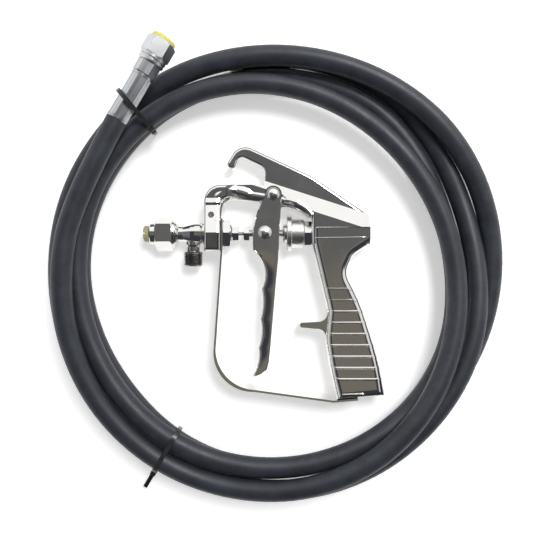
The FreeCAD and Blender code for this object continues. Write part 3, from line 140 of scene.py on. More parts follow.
TIE_SLIM = 0.68               # share of the CAD band's width that the nylon band has
TIE_HEAD_REACH = 0.009        # how far the ferrule tie's head and tail stand out from its band
TIE_HEAD_PRESSED = 0.45       # share of that reach that is left, for a flat head
TIE_CREASE = 30               # degrees
MERGE = 1e-6                  # metres, within which a CAD mesh's loose corners are one

# How noise is stretched into tool lines and streaks: its scale along X, Y and Z
TURNED_LINES = (9000.0, 60.0, 60.0)
STEEL_LINES = (9000.0, 80.0, 80.0)
PRESSED_LINES = (120.0, 900.0, 900.0)
DRAWN_LINES = (16.0, 420.0, 420.0)
DRAWN_STREAKS = (12.0, 640.0, 640.0)


# Settings

def colour_setting(name, description, default):
    """Colour that a user can change."""
    return bpy.props.FloatVectorProperty(name=name, description=description, default=default, size=3,
                                         min=0.0, max=1.0, subtype="COLOR")


class HoseSettings(bpy.types.PropertyGroup):
    """Size of the hose, and its colours"""
    diameter: bpy.props.FloatProperty(
        name="Diameter", description="Outside diameter of the hose", default=HOSE_D,
        min=0.008, max=0.02, subtype="DISTANCE", unit="LENGTH")
    colour: colour_setting("Cover", "Colour of the rubber cover", (0.025, 0.029, 0.038))
    cap_colour: colour_setting("Caps", "Colour of the soft end caps", (0.84, 0.78, 0.20))


class MetalSettings(bpy.types.PropertyGroup):
    """Colours of the metal finishes, and the casting's polish"""
    chrome: colour_setting("Chrome", "Colour of the plated parts", (0.83, 0.82, 0.80))
    zinc: colour_setting("Zinc", "Colour of the swivel nut", (0.66, 0.67, 0.68))
    drawn_zinc: colour_setting("Drawn zinc", "Colour of the sleeves and stems", (0.60, 0.62, 0.645))
    gloss: bpy.props.FloatProperty(
        name="Polish", description="Least roughness of the polished casting", default=0.07,
        min=0.02, max=0.4, subtype="FACTOR")


class StageSettings(bpy.types.PropertyGroup):
    """Floor, lamps and the light from all round"""
    floor_half: bpy.props.FloatProperty(
        name="Floor", description="Half the width of the floor", default=4.0,
        min=0.5, max=20.0, subtype="DISTANCE", unit="LENGTH")
    lamp_power: bpy.props.FloatProperty(
        name="Lamps", description="Power of each soft lamp", default=9.5, min=0.0, max=100.0,
        subtype="POWER", unit="POWER")
    fill: bpy.props.FloatProperty(
        name="Fill", description="Level of the light from all round", default=0.42, min=0.0, max=2.0)


# Shapes

def surface(name, grid):
    """Mesh of a grid of points, rows along the piece and columns round it; faces join each four
    neighbours, and one flat face closes each end."""
    rows, columns = grid.shape[:2]
    r = np.arange(rows - 1)[:, None] * columns
    c = np.arange(columns)[None, :]
    c1 = (c + 1) % columns
    faces = np.stack([r + c, r + c1, r + columns + c1, r + columns + c], -1).reshape(-1, 4).tolist()
    faces.append(list(range(columns))[::-1])
    faces.append(list(range((rows - 1) * columns, rows * columns)))
    mesh = bpy.data.meshes.new(name)
    mesh.from_pydata(grid.reshape(-1, 3).tolist(), [], faces)
    mesh.validate()
    mesh.update()
    mesh.shade_smooth()
    made = bpy.data.objects.new(name, mesh)
    bpy.context.scene.collection.objects.link(made)
    return made


def merged(node):
    """Copy of a CAD node's loose triangles with their shared corners made one."""
    shape = bmesh.new()
    shape.from_mesh(node.data)
    bmesh.ops.remove_doubles(shape, verts=shape.verts, dist=MERGE)
    return shape


def in_gun(points):
    """Points given in millimetres in the gun's frame, carried to the row's frame in metres."""
    return np.asarray(points, float) * MM + np.array(GUN)


def arc_x(y, below, bow, above):
    """X on the circle through three points (x, y), at the heights y: centre plus or minus the root of
    the squared radius less the squared height over the centre."""
    (ax, ay), (bx, by), (cx, cy) = below, bow, above
    d = 2 * (ax * (by - cy) + bx * (cy - ay) + cx * (ay - by))
    a2, b2, c2 = ax * ax + ay * ay, bx * bx + by * by, cx * cx + cy * cy
    ux = (a2 * (by - cy) + b2 * (cy - ay) + c2 * (ay - by)) / d
    uy = (a2 * (cx - bx) + b2 * (ax - cx) + c2 * (bx - ax)) / d
    radius = math.hypot(ax - ux, ay - uy)
    side = 1.0 if bx > ux else -1.0
    return ux + side * np.sqrt(np.maximum(radius ** 2 - (y - uy) ** 2, 0.0))


def lever_front(y):
    """X of the lever's finger side at heights y: three grooves and the hollow under the knuckle, each
    an arc through three points."""
    tip, pitch, knuckle = LEVER_TIP_Y, GROOVE_PITCH, KNUCKLE_Y
    ends = [(-8.0, tip + 0.5), (-4.3, tip + pitch - 0.9), (-2.9, tip + 2 * pitch - 1.3),
            (-1.9, tip + 3 * pitch - 0.4), (-8.3, knuckle)]
    bows = [(-4.6, tip + 8.9), (-2.0, (ends[1][1] + ends[2][1]) / 2),
            (-1.1, (ends[2][1] + ends[3][1]) / 2), (-0.2, knuckle - 0.44 * (knuckle - ends[3][1]))]
    x = np.full_like(y, ends[0][0])
    for low, bow, high in zip(ends, bows, ends[1:]):
        inside = (y > low[1]) & (y <= high[1])
        x[inside] = arc_x(y[inside], low, bow, high)
    return x


def corner(radius, turn_from, turn_to, count):
    """Places on a rounded corner: radius times cosine and sine of the angle swept."""
    a = np.radians(np.linspace(turn_from, turn_to, count))
    return radius * np.cos(a), radius * np.sin(a)


def lever_grid(rows=150):
    """Grid of the lever under the knuckle: at each height a pressed channel, cheeks that lean in
    towards the finger face by a power of the way across, a round bend between them, and a wall
    inside."""
    y = KNUCKLE_Y + (LEVER_TIP_Y - KNUCKLE_Y) * np.linspace(0, 1, rows)
    down = np.clip((KNUCKLE_Y - y) / LEVER_FADE, 0, 1)
    down = down * down * (3 - 2 * down)
    up = np.clip((y - LEVER_TIP_Y - LEVER_TIP_PLAIN) / LEVER_TIP_FLAT, 0, 1)
    lean_in = LEVER_LEAN * down * up * up * (3 - 2 * up)
    front = lever_front(y) - LEVER_PROUD * down
    back = np.interp(y, [b[0] for b in LEVER_BACK], [b[1] for b in LEVER_BACK])
    depth = back - front
    bend = np.minimum(LEVER_EDGE_R + LEVER_BEND_MORE * down, 0.4 * depth)
    wall = np.minimum(CHEEK_OUTER - CHEEK_INNER, 0.4 * depth)
    hem = np.minimum(LEVER_EDGE_R, 0.2 * depth)
    grid = []
    for y0, f, b, r, w, h, lean in zip(y, front, back, bend, wall, hem, lean_in):
        hx, hz = corner(h, 0, 80, HEM_POINTS)
        across = np.linspace(0.04, 0.96, CHEEK_POINTS)
        fx, fz = corner(r, 70, 180, BEND_POINTS)
        outer = [np.concatenate([b - h + hx, b - h - (b - h - f - r) * across, f + r + fx]),
                 np.concatenate([CHEEK_OUTER - h + hz, CHEEK_OUTER - lean * across ** 1.3,
                                 CHEEK_OUTER - lean - r + fz])]
        inner = [outer[0][HEM_POINTS:][::-1] + np.linspace(w, 0, CHEEK_POINTS + BEND_POINTS),
                 outer[1][HEM_POINTS:][::-1] - np.linspace(0.2, w, CHEEK_POINTS + BEND_POINTS)]
        x = np.concatenate([outer[0], outer[0][::-1], inner[0][::-1], inner[0]])
        z = np.concatenate([outer[1], -outer[1][::-1], -inner[1][::-1], inner[1]])
        grid.append(np.stack([x, np.full_like(x, y0), z], -1))
    return in_gun(grid)


def smooth_line(points, count):
    """Points spread along a Catmull-Rom curve through the given ones: between two of them, a cubic
    whose slopes at its ends are half the step from the neighbour before to the neighbour after."""
    p = np.asarray(points, float)
    p = np.vstack([2 * p[0] - p[1], p, 2 * p[-1] - p[-2]])
    u = np.linspace(0, len(points) - 1 - 1e-9, count)
    k = u.astype(int)
    t = (u - k)[:, None]
    a, b, c, d = p[k], p[k + 1], p[k + 2], p[k + 3]
    return b + 0.5 * t * (c - a + t * (2 * a - 5 * b + 4 * c - d + t * (3 * (b - c) + d - a)))


def arch_grid(count=130):
    """Grid of the rounded under edge of the arch: across its line, a slope that rises out of the flat
    side, a quarter circle over to the under side, and the same again on the other side."""
    line = smooth_line(ARCH_EDGE, count)
    along = np.gradient(line[:, :2], axis=0)
    along /= np.linalg.norm(along, axis=1)[:, None]
    inward = np.stack([along[:, 1], -along[:, 0]], -1)
    radius, run = line[:, 2:3], line[:, 3:4]
    crest = np.interp(line[:, 0], [c[0] for c in ARCH_CREST], [c[1] for c in ARCH_CREST])[:, None]
    turn = np.radians(np.linspace(0, 90, 12))[None, :]
    slope = np.linspace(1, 0, 4)[None, :-1]
    aside = np.hstack([-radius - run * slope, radius * (np.sin(turn) - 1)])
    height = np.hstack([crest - run * slope * ARCH_SLOPE, crest - radius * (1 - np.cos(turn))])
    aside = np.hstack([aside, aside[:, ::-1]])
    height = np.hstack([height, -height[:, ::-1]])
    place = line[:, None, :2] + inward[:, None, :] * aside[:, :, None]
    return in_gun(np.concatenate([place, height[:, :, None]], -1)[:, ::-1])


def bead_grid(path, radius, sides=8):
    """Grid of a thin round bead along a path that keeps its height: circles square to the path, a
    quarter as large at its ends."""
    path = np.asarray(path, float)
    along = np.gradient(path, axis=0)
    along /= np.linalg.norm(along, axis=1)[:, None]
    aside = np.stack([-along[:, 1], along[:, 0], np.zeros(len(path))], -1)
    a = np.linspace(0, 2 * math.pi, sides, endpoint=False)[None, :, None]
    size = np.full(len(path), radius)
    size[0] = size[-1] = 0.25 * radius
    ring = aside[:, None, :] * np.cos(a) + np.array((0, 0, 1.0)) * np.sin(a)
    return path[:, None, :] + ring * size[:, None, None]


def eased_along(steps, angle):
    """Value at an angle, easing along half a cosine wave from each step's value to the next."""
    angles = np.array([s[0] for s in steps], float)
    values = np.array([s[1] for s in steps], float)
    k = int(np.clip(np.searchsorted(angles, angle) - 1, 0, len(steps) - 2))
    part_way = min(1.0, max(0.0, (angle - angles[k]) / (angles[k + 1] - angles[k])))
    return values[k] + (values[k + 1] - values[k]) * (1 - math.cos(math.pi * part_way)) / 2


def circle_place(angle_deg, radius, forward, z):
    """Point on the line that touches a circle round the coil's centre, forward of where it touches."""
    a = math.radians(angle_deg)
    x = COIL_CENTRE[0] + radius * math.cos(a) - forward * math.sin(a)
    y = COIL_CENTRE[1] + radius * math.sin(a) + forward * math.cos(a)
    return (x, y, z)


def hose_points():
    """Control points of the hose's line: the tail, then one at every step round the coil, drawn out so
    that the line between them keeps the turns' radius, then the straight end at the far fitting."""
    drawn_out = MM / math.cos(math.radians(COIL_STEP / 2))
    first_r = COIL_RADII[0][1] * MM
    points = [circle_place(TAIL_ANGLE, first_r, -TAIL_RUN, LOW_AXIS + COIL_RISES[0][1] * MM)]
    for k in range(int(COIL_LAST / COIL_STEP + 0.5)):
        turned = (k + 0.5) * COIL_STEP
        radius = eased_along(COIL_RADII, turned) * drawn_out
        rise = eased_along(COIL_RISES, turned) * MM
        points.append(circle_place(TAIL_ANGLE + turned, radius, 0, LOW_AXIS + rise))
    points.append(circle_place(FAR_ANGLE, FAR_R, -FAR_RUN, LOW_AXIS))
    points.append(circle_place(FAR_ANGLE, FAR_R, -(FAR_RUN - HOSE_D), LOW_AXIS))
    return points


# Materials

def feed(tree, node, inputs):
    """Gives a node's inputs their values, or the sockets that they come from."""
    for key, value in inputs.items():
        if isinstance(value, bpy.types.NodeSocket):
            tree.links.new(value, node.inputs[key])
        else:
            node.inputs[key].default_value = value


def wire(tree, kind, inputs, **settings):
    """New node with its settings and its inputs."""
    made = tree.nodes.new(kind)
    for key, value in settings.items():
        setattr(made, key, value)
    feed(tree, made, inputs)
    return made


def maths(tree, operation, *values):
    """Result of a Math node on the given values or sockets."""
    return wire(tree, "ShaderNodeMath", dict(enumerate(values)), operation=operation).outputs[0]


def ranged(tree, value, low, high, to_low=0.0, to_high=1.0):
    """Value carried from the range low to high to another range, and kept within it."""
    return wire(tree, "ShaderNodeMapRange", {"Value": value, "From Min": low, "From Max": high,
                                             "To Min": to_low, "To Max": to_high}).outputs["Result"]


def noise(tree, place, scale, detail, roughness=0.5):
    """Value of a noise texture."""
    return wire(tree, "ShaderNodeTexNoise", {"Vector": place, "Scale": scale, "Detail": detail,
                                             "Roughness": roughness}).outputs["Fac"]


def mixed(tree, factor, first, second):
    """Colour on the way from the first to the second."""
    return wire(tree, "ShaderNodeMix", {"Factor": factor, 6: first, 7: second},
                data_type="RGBA").outputs[2]


def scaled(tree, colour, factor):
    """Colour times a value."""
    return wire(tree, "ShaderNodeVectorMath", {0: colour, "Scale": factor},
                operation="SCALE").outputs["Vector"]


def two_tone(tree, value, colour, low, high):
    """Colour that gets lighter with a value: low and high are each a value and the share of the colour
    there."""
    ramp = wire(tree, "ShaderNodeValToRGB", {"Fac": value})
    for stop, (at, share) in zip(ramp.color_ramp.elements, (low, high)):
        stop.position = at
        stop.color = (*[min(1.0, c * share) for c in colour], 1)
    return ramp.outputs["Color"]


def raised(tree, given, out, height):
    """Feeds a height through a Bump node with the group's own strength, depth and normal."""
    bump = wire(tree, "ShaderNodeBump", {"Strength": given["Strength"], "Distance": given["Depth"],
                                         "Height": height, "Normal": given["Normal"]})
    tree.links.new(bump.outputs["Normal"], out["Normal"])


def group(name, sockets_in, sockets_out, fill):
    """Shader node group with named float, colour or vector sockets, filled in by a function."""
    tree = bpy.data.node_groups.new(name, "ShaderNodeTree")
    for label, kind, value in sockets_in:
        socket = tree.interface.new_socket(name=label, in_out="INPUT", socket_type=kind)
        if value is not None:
            socket.default_value = value
    for label, kind in sockets_out:
        tree.interface.new_socket(name=label, in_out="OUTPUT", socket_type=kind)
    start = tree.nodes.new("NodeGroupInput")
    end = tree.nodes.new("NodeGroupOutput")
    fill(tree, start.outputs, end.inputs)
    return tree


def fill_handling(tree, given, out):
    """Roughness between two values: large soft smears times a fine grain."""
    smear = noise(tree, given["Vector"], given["Scale"], 4.0, 0.6)
    both = maths(tree, "MULTIPLY", smear, noise(tree, given["Vector"], 900.0, 2.0))
    tree.links.new(ranged(tree, both, 0.12, 0.42, given["Low"], given["High"]), out["Roughness"])


def fill_grain(tree, given, out):
    """Bump of fine noise, for cast, moulded and extruded skins."""
    raised(tree, given, out, noise(tree, given["Vector"], given["Scale"], 6.0, 0.6))


def fill_lines(tree, given, out):
    """Bump of noise on stretched coordinates: the fine parallel lines that turning or drawing leaves."""
    raised(tree, given, out, noise(tree, given["Vector"], 1.0, 3.0, 0.7))


def fill_dust(tree, given, out):
    """Mask of sparse pale specks, only inside soft patches."""
    specks = wire(tree, "ShaderNodeTexVoronoi", {"Vector": given["Vector"], "Scale": given["Scale"]})
    small = ranged(tree, specks.outputs["Distance"], 0.04, 0.16, 1.0, 0.0)
    patches = ranged(tree, noise(tree, given["Vector"], 60.0, 3.0), 0.5, 0.72)
    both = maths(tree, "MULTIPLY", small, patches)
    tree.links.new(maths(tree, "MULTIPLY", both, given["Amount"]), out["Mask"])


FLOAT, VECTOR = "NodeSocketFloat", "NodeSocketVector"


def effect_groups():
    """The effects that several materials share, each built once."""
    return {
        "handling": group("Handling marks", [("Vector", VECTOR, None), ("Scale", FLOAT, 40.0),
                                             ("Low", FLOAT, 0.08), ("High", FLOAT, 0.2)],
                          [("Roughness", FLOAT)], fill_handling),
        "grain": group("Fine grain", [("Vector", VECTOR, None), ("Scale", FLOAT, 800.0),
                                      ("Strength", FLOAT, 0.2), ("Depth", FLOAT, 0.0001),
                                      ("Normal", VECTOR, None)],
                       [("Normal", VECTOR)], fill_grain),
        "lines": group("Tool lines", [("Vector", VECTOR, None), ("Strength", FLOAT, 0.2),
                                      ("Depth", FLOAT, 0.0001), ("Normal", VECTOR, None)],
                       [("Normal", VECTOR)], fill_lines),
        "dust": group("Dust specks", [("Vector", VECTOR, None), ("Scale", FLOAT, 900.0),
                                      ("Amount", FLOAT, 0.5)],
                      [("Mask", FLOAT)], fill_dust),
    }


def empty_tree(holder):
    """Node tree of a material or a world, emptied."""
    holder.use_nodes = True
    holder.node_tree.nodes.clear()
    return holder.node_tree


def new_material(name):
    """Material with its Principled shader wired to the output, and object coordinates."""
    material = bpy.data.materials.new(name)
    tree = empty_tree(material)
    shader = tree.nodes.new("ShaderNodeBsdfPrincipled")
    output = tree.nodes.new("ShaderNodeOutputMaterial")
    tree.links.new(shader.outputs["BSDF"], output.inputs["Surface"])
    place = tree.nodes.new("ShaderNodeTexCoord").outputs["Object"]
    return material, tree, shader, place


def opened(material):
    """A finished material's tree and shader, with object coordinates, whole and by their axes."""
    tree = material.node_tree
    shader = next(n for n in tree.nodes if n.type == "BSDF_PRINCIPLED")
    place = tree.nodes.new("ShaderNodeTexCoord").outputs["Object"]
    return tree, shader, place, wire(tree, "ShaderNodeSeparateXYZ", {"Vector": place}).outputs


def use_group(tree, effect, inputs):
    """Places a shared effect in a material with that material's own values."""
    return wire(tree, "ShaderNodeGroup", inputs, node_tree=EFFECTS[effect]).outputs[0]


def stretched(tree, place, scale, turn):
    """Object coordinates stretched by a Mapping node, so that noise becomes lines. They lie along the
    X axis, turned about Z by the given angle."""
    turned = wire(tree, "ShaderNodeMapping", {"Vector": place, "Rotation": (0.0, 0.0, -turn)})
    return wire(tree, "ShaderNodeMapping", {"Vector": turned.outputs["Vector"],
                                            "Scale": scale}).outputs["Vector"]


def plated(name, colour, gloss, lines=None, strength=0.0, stain=0.04, turn=0.0, streaks=None):
    """Polished plating: faint cloudiness or streaks in the colour, smeared gloss between two
    roughnesses, and fine polishing marks or tool lines."""
    material, tree, shader, place = new_material(name)
    where, size = (place, 55.0) if streaks is None else (stretched(tree, place, streaks, turn), 1.0)
    shade = ranged(tree, noise(tree, where, size, 5.0), 0.3, 0.7, 1.0 - stain, 1.0)
    rough = use_group(tree, "handling", {"Vector": place, "Scale": 38.0, "Low": gloss[0],
                                         "High": gloss[1]})
    if lines is None:
        normal = use_group(tree, "grain", {"Vector": place, "Scale": 160.0, "Strength": strength,
                                           "Depth": 0.0002})
    else:
        normal = use_group(tree, "lines", {"Vector": stretched(tree, place, lines, turn),
                                           "Strength": strength, "Depth": 0.00006})
    feed(tree, shader, {"Base Color": scaled(tree, colour, shade), "Metallic": 1.0,
                        "Roughness": rough, "Normal": normal})
    return material


def cast_form(material):
    """Gives the plated arch the crowned look of the polished casting. A height that rises and falls
    with Y on the lug and the beam tilts the reflections there, faded out behind the trigger, and low
    waves tilt them all over."""
    tree, shader, place, axes = opened(material)
    first, last = LUG_FORM[0][0], LUG_FORM[-1][0]
    up = ranged(tree, axes["Y"], GUN[1] + first * MM, GUN[1] + last * MM)
    ramp = wire(tree, "ShaderNodeValToRGB", {"Fac": up})
    stops = ramp.color_ramp.elements
    stops.remove(stops[-1])
    for k, (y, level) in enumerate(LUG_FORM):
        at = (y - first) / (last - first)
        stop = stops[0] if k == 0 else stops.new(at)
        stop.position = at
        stop.color = (level, level, level, 1)
    front = ranged(tree, axes["X"], GUN[0] + FORM_FADE_X * MM, GUN[0] - FORM_FADE_X * MM)
    above = ranged(tree, axes["Y"], *(GUN[1] + y * MM for y in FORM_FLOOR_Y))
    height = ramp.outputs["Color"]
    for factor in (front, above, FORM_DEPTH * MM):
        height = maths(tree, "MULTIPLY", height, factor)
    height = maths(tree, "MULTIPLY_ADD", noise(tree, place, 32.0, 1.0), SWELL_HEIGHT * MM,
                   height)
    bump = wire(tree, "ShaderNodeBump", {"Strength": 1.0, "Distance": 1.0, "Height": height})
    fine = shader.inputs["Normal"].links[0].from_node
    tree.links.new(bump.outputs["Normal"], fine.inputs["Normal"])
    return material


def threaded(material):
    """Darkens the inlet of the plated fluid head: dull oxide that grows towards its thread, with painted
    shade that makes it darkest in the grooves, half a pitch from the ridges."""
    tree, shader, _, axes = opened(material)
    below = ranged(tree, axes["Y"], *(GUN[1] - (THREAD_TOP + y) * MM for y in OXIDE_AND_SHADE_FADE))
    turns = maths(tree, "ADD", axes["Y"], -(GUN[1] - (THREAD_TOP + THREAD_FIRST) * MM))
    turns = maths(tree, "FRACT", maths(tree, "DIVIDE", turns, THREAD_PITCH * MM))
    from_ridge = maths(tree, "ABSOLUTE", maths(tree, "SUBTRACT", turns, 0.5))
    # Painted shade: the dull colour falls from 0.42 on the ridges to 0.07 in the grooves, where the
    # thread's turns shade each other
    oxide_and_groove_shade = scaled(tree, (1.0, 0.94, 0.87), ranged(tree, from_ridge, 0.10, 0.40, 0.42, 0.07))
    bright = shader.inputs["Base Color"].links[0].from_socket
    smooth = shader.inputs["Roughness"].links[0].from_socket
    feed(tree, shader, {"Base Color": mixed(tree, below, bright, oxide_and_groove_shade),
                        "Roughness": maths(tree, "MULTIPLY_ADD", below, 0.16, smooth)})
    return material


def rubber(name, colour):
    """Matt black cover: soft clouds in the colour, a bloom of pale dust, uneven gloss and a fine
    extruded grain."""
    material, tree, shader, place = new_material(name)
    cloud = two_tone(tree, noise(tree, place, 70.0, 6.0, 0.65), colour, (0.35, 0.75), (0.7, 1.35))
    dust = use_group(tree, "dust", {"Vector": place, "Scale": 520.0, "Amount": 0.35})
    rough = use_group(tree, "handling", {"Vector": place, "Scale": 30.0, "Low": 0.40, "High": 0.58})
    normal = use_group(tree, "grain", {"Vector": place, "Scale": 1500.0, "Strength": 0.35,
                                       "Depth": 0.00012})
    feed(tree, shader, {"Base Color": mixed(tree, dust, cloud, (0.23, 0.23, 0.23, 1)),
                        "Roughness": rough, "Normal": normal})
    return material


def plastic(name, colour, gloss, grain=0.15, soft=0.0):
    """Moulded plastic: slightly mottled colour, uneven gloss between two roughnesses and a fine moulded
    grain. Soft plastic lets some light in."""
    material, tree, shader, place = new_material(name)
    mottle = two_tone(tree, noise(tree, place, 220.0, 4.0), colour, (0.3, 0.88), (0.7, 1.05))
    rough = use_group(tree, "handling", {"Vector": place, "Scale": 60.0, "Low": gloss[0],
                                         "High": gloss[1]})
    normal = use_group(tree, "grain", {"Vector": place, "Scale": 1200.0, "Strength": grain,
                                       "Depth": 0.0001})
    feed(tree, shader, {"Base Color": mottle, "Roughness": rough, "Normal": normal})
    if soft:
        feed(tree, shader, {"Subsurface Weight": soft, "Subsurface Scale": 0.002})
    return material


def dress(material, *names):
    """Gives CAD nodes one material."""
    for name in names:
        slots = NODES[name].data.materials
        slots.clear()
        slots.append(material)


# Operators

class SPRAYGUN_OT_finishes(bpy.types.Operator):
    """Plates the gun's metal parts and gives each finish its own gloss and marks"""
    bl_idname = "spraygun.finishes"
    bl_label = "Metal and plastic finishes"

    def execute(self, context):
        look = context.scene.spraygun_metal
        chrome = tuple(look.chrome)
        casting = cast_form(plated("Polished casting", chrome, (look.gloss, 0.16), None, 0.10))
        head = threaded(plated("Fluid head", chrome, (0.10, 0.22), None, 0.10))
        turned = plated("Turned plating", chrome, (0.10, 0.22), TURNED_LINES, 0.25)
        satin = plated("Satin plating", chrome, (0.26, 0.36), TURNED_LINES, 0.3)
        pressed = plated("Pressed sheet plating", chrome, (0.08, 0.18), PRESSED_LINES, 0.12)
        domed = plated("Domed plating", chrome, (0.20, 0.28), None, 0.05)
        steel = plated("Turned steel", (0.62, 0.61, 0.60), (0.22, 0.36), STEEL_LINES, 0.35, 0.12)
        dress(casting, "gun_casting")
        dress(head, "fluid_head")
        dress(turned, "jam_nut", "packing_nut", "pivot_nut", "lock_nut", "retainer_nut",
              "coupling_nut")
        dress(satin, "adjuster_knob")
        dress(pressed, "guard_strap", "trigger")
        dress(domed, "pivot_screw", "cross_screws")
        dress(steel, "valve_seat", "lug_screw", "strap_screw", "spring_stud", "needle", "draw_rod",
              "cross_block", "return_spring")
        near_way, far_way = (math.radians(angle - 90) for angle in (TAIL_ANGLE, FAR_ANGLE))
        dress(plated("Zinc plating", tuple(look.zinc), (0.29, 0.38), DRAWN_LINES, 0.40, 0.16, near_way),
              "swivel_nut")
        for end, way in (("near", near_way), ("far", far_way)):
            drawn = plated("Drawn zinc plating, %s end" % end, tuple(look.drawn_zinc), (0.27, 0.36),
                           DRAWN_LINES, 0.40, 0.50, way, DRAWN_STREAKS)
            dress(drawn, "%s_ferrule" % end, "%s_stem" % end)
        dress(plastic("Olive tip", (0.42, 0.40, 0.20), (0.3, 0.45)), "spray_tip")
        dress(plastic("White seal", (0.86, 0.86, 0.83), (0.35, 0.5), 0.1, 0.2), "packing_seal",
              "tip_gasket")
        return {"FINISHED"}


class SPRAYGUN_OT_trigger(bpy.types.Operator):
    """Presses the trigger from sheet: the CAD cheeks down to the knuckle, then a round-fronted lever"""
    bl_idname = "spraygun.trigger"
    bl_label = "Trigger"

    def execute(self, context):
        node = NODES["trigger"]
        upper = merged(node)
        geometry = upper.verts[:] + upper.edges[:] + upper.faces[:]
        bmesh.ops.bisect_plane(upper, geom=geometry, plane_co=in_gun((0, KNUCKLE_Y, 0)),
                               plane_no=(0, -1, 0), clear_outer=True)
        lever = surface("trigger_lever_face", lever_grid())
        upper.from_mesh(lever.data)
        upper.to_mesh(lever.data)
        upper.free()
        if "custom_normal" in lever.data.attributes:
            lever.data.attributes.remove(lever.data.attributes["custom_normal"])
        lever.data.shade_smooth()
        lever.data.set_sharp_from_angle(angle=math.radians(LEVER_CREASE))
        lever.data.materials.clear()
        lever.data.materials.append(node.data.materials[0])
        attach(lever, "trigger_lever")
        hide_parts("trigger")
        return {"FINISHED"}


class SPRAYGUN_OT_beads(bpy.types.Operator):
    """Adds the thin raised lines on both flanks of the grip: at its top and over its foot"""
    bl_idname = "spraygun.beads"
    bl_label = "Raised lines on the grip"

    def execute(self, context):
        t = np.linspace(0, 1, LINE_POINTS)[:, None]
        for label, start, end, radius in GRIP_LINES:
            for side, height in (("front", FLANK_Z), ("back", -FLANK_Z)):
                path = np.array(start) * (1 - t) + np.array(end) * t
                path = np.hstack([path, np.full_like(t, height)])
                bead = surface("%s_%s" % (label, side), in_gun(bead_grid(path, radius)))
                bead.data.materials.append(NODES["gun_casting"].data.materials[0])
                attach(bead, "gun_body")
        return {"FINISHED"}


class SPRAYGUN_OT_arch(bpy.types.Operator):
    """Rounds the under edge of the casting's arch, as the polished casting has it"""
    bl_idname = "spraygun.arch"
    bl_label = "Rounded arch"

    def execute(self, context):
        rim = surface("arch_rim", arch_grid())
        rim.data.set_sharp_from_angle(angle=math.radians(ARCH_CREASE))
        rim.data.materials.append(NODES["gun_casting"].data.materials[0])
        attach(rim, "gun_body")
        return {"FINISHED"}


class SPRAYGUN_OT_ties(bpy.types.Operator):
    """Trims the two cable ties to the slim nylon band of the photograph"""
    bl_idname = "spraygun.ties"
    bl_label = "Cable ties"

    def execute(self, context):
        nylon = plastic("Black nylon", (0.022, 0.022, 0.024), (0.28, 0.4), 0.2)
        for name in ("coil_tie", "ferrule_tie"):
            slim = merged(NODES[name])
            mesh = bpy.data.meshes.new("%s_band" % name)
            slim.to_mesh(mesh)
            slim.free()
            places = np.empty(len(mesh.vertices) * 3)
            mesh.vertices.foreach_get("co", places)
            places = places.reshape(-1, 3)
            middle = (places.min(0) + places.max(0)) / 2
            # The tie lies flat, so its width runs along the direction of least spread
            across = np.linalg.svd(places - places.mean(0), full_matrices=False)[2][2]
            off = (places - middle) @ across
            off -= (off.min() + off.max()) / 2
            places -= np.outer(off * (1 - TIE_SLIM), across)
            if name == "ferrule_tie":
                # Its head and tail point at the coil's centre and are pressed back from there
                aside = places[:, :2] - COIL_CENTRE
                radius = np.linalg.norm(aside, axis=1)
                edge = radius.min() + TIE_HEAD_REACH
                flat = np.where(radius < edge, edge - TIE_HEAD_PRESSED * (edge - radius), radius)
                places[:, :2] = COIL_CENTRE + aside * (flat / radius)[:, None]
            mesh.vertices.foreach_set("co", places.ravel())
            mesh.shade_smooth()
            mesh.set_sharp_from_angle(angle=math.radians(TIE_CREASE))
            mesh.materials.append(nylon)
            band = bpy.data.objects.new("%s_band" % name, mesh)
            context.scene.collection.objects.link(band)
            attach(band, "hose_coil")
            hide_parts(name)
        return {"FINISHED"}


class SPRAYGUN_OT_hose(bpy.types.Operator):
    """Lays the supply hose in its loose coil and dresses its two caps"""
    bl_idname = "spraygun.hose"
    bl_label = "Supply hose"

    def execute(self, context):
        look = context.scene.spraygun_hose
        line = bpy.data.curves.new("supply_hose", "CURVE")
        line.dimensions = "3D"
        spline = line.splines.new("NURBS")
        points = hose_points()
        spline.points.add(len(points) - 1)
        spline.points.foreach_set("co", np.hstack([points, np.ones((len(points), 1))]).ravel())
        spline.order_u = 3
        spline.use_endpoint_u = True
        spline.resolution_u = 8
        line.bevel_depth = look.diameter / 2
        line.bevel_resolution = 9
        line.use_fill_caps = True
        hose = bpy.data.objects.new("supply_hose", line)
        context.scene.collection.objects.link(hose)
        line.materials.append(rubber("Rubber cover", tuple(look.colour)))
        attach(hose, "hose_coil")
        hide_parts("hose")
        cap = plastic("Soft cap", tuple(look.cap_colour), (0.35, 0.55), 0.15, 0.35)
        dress(cap, "near_cap", "far_cap")
        return {"FINISHED"}


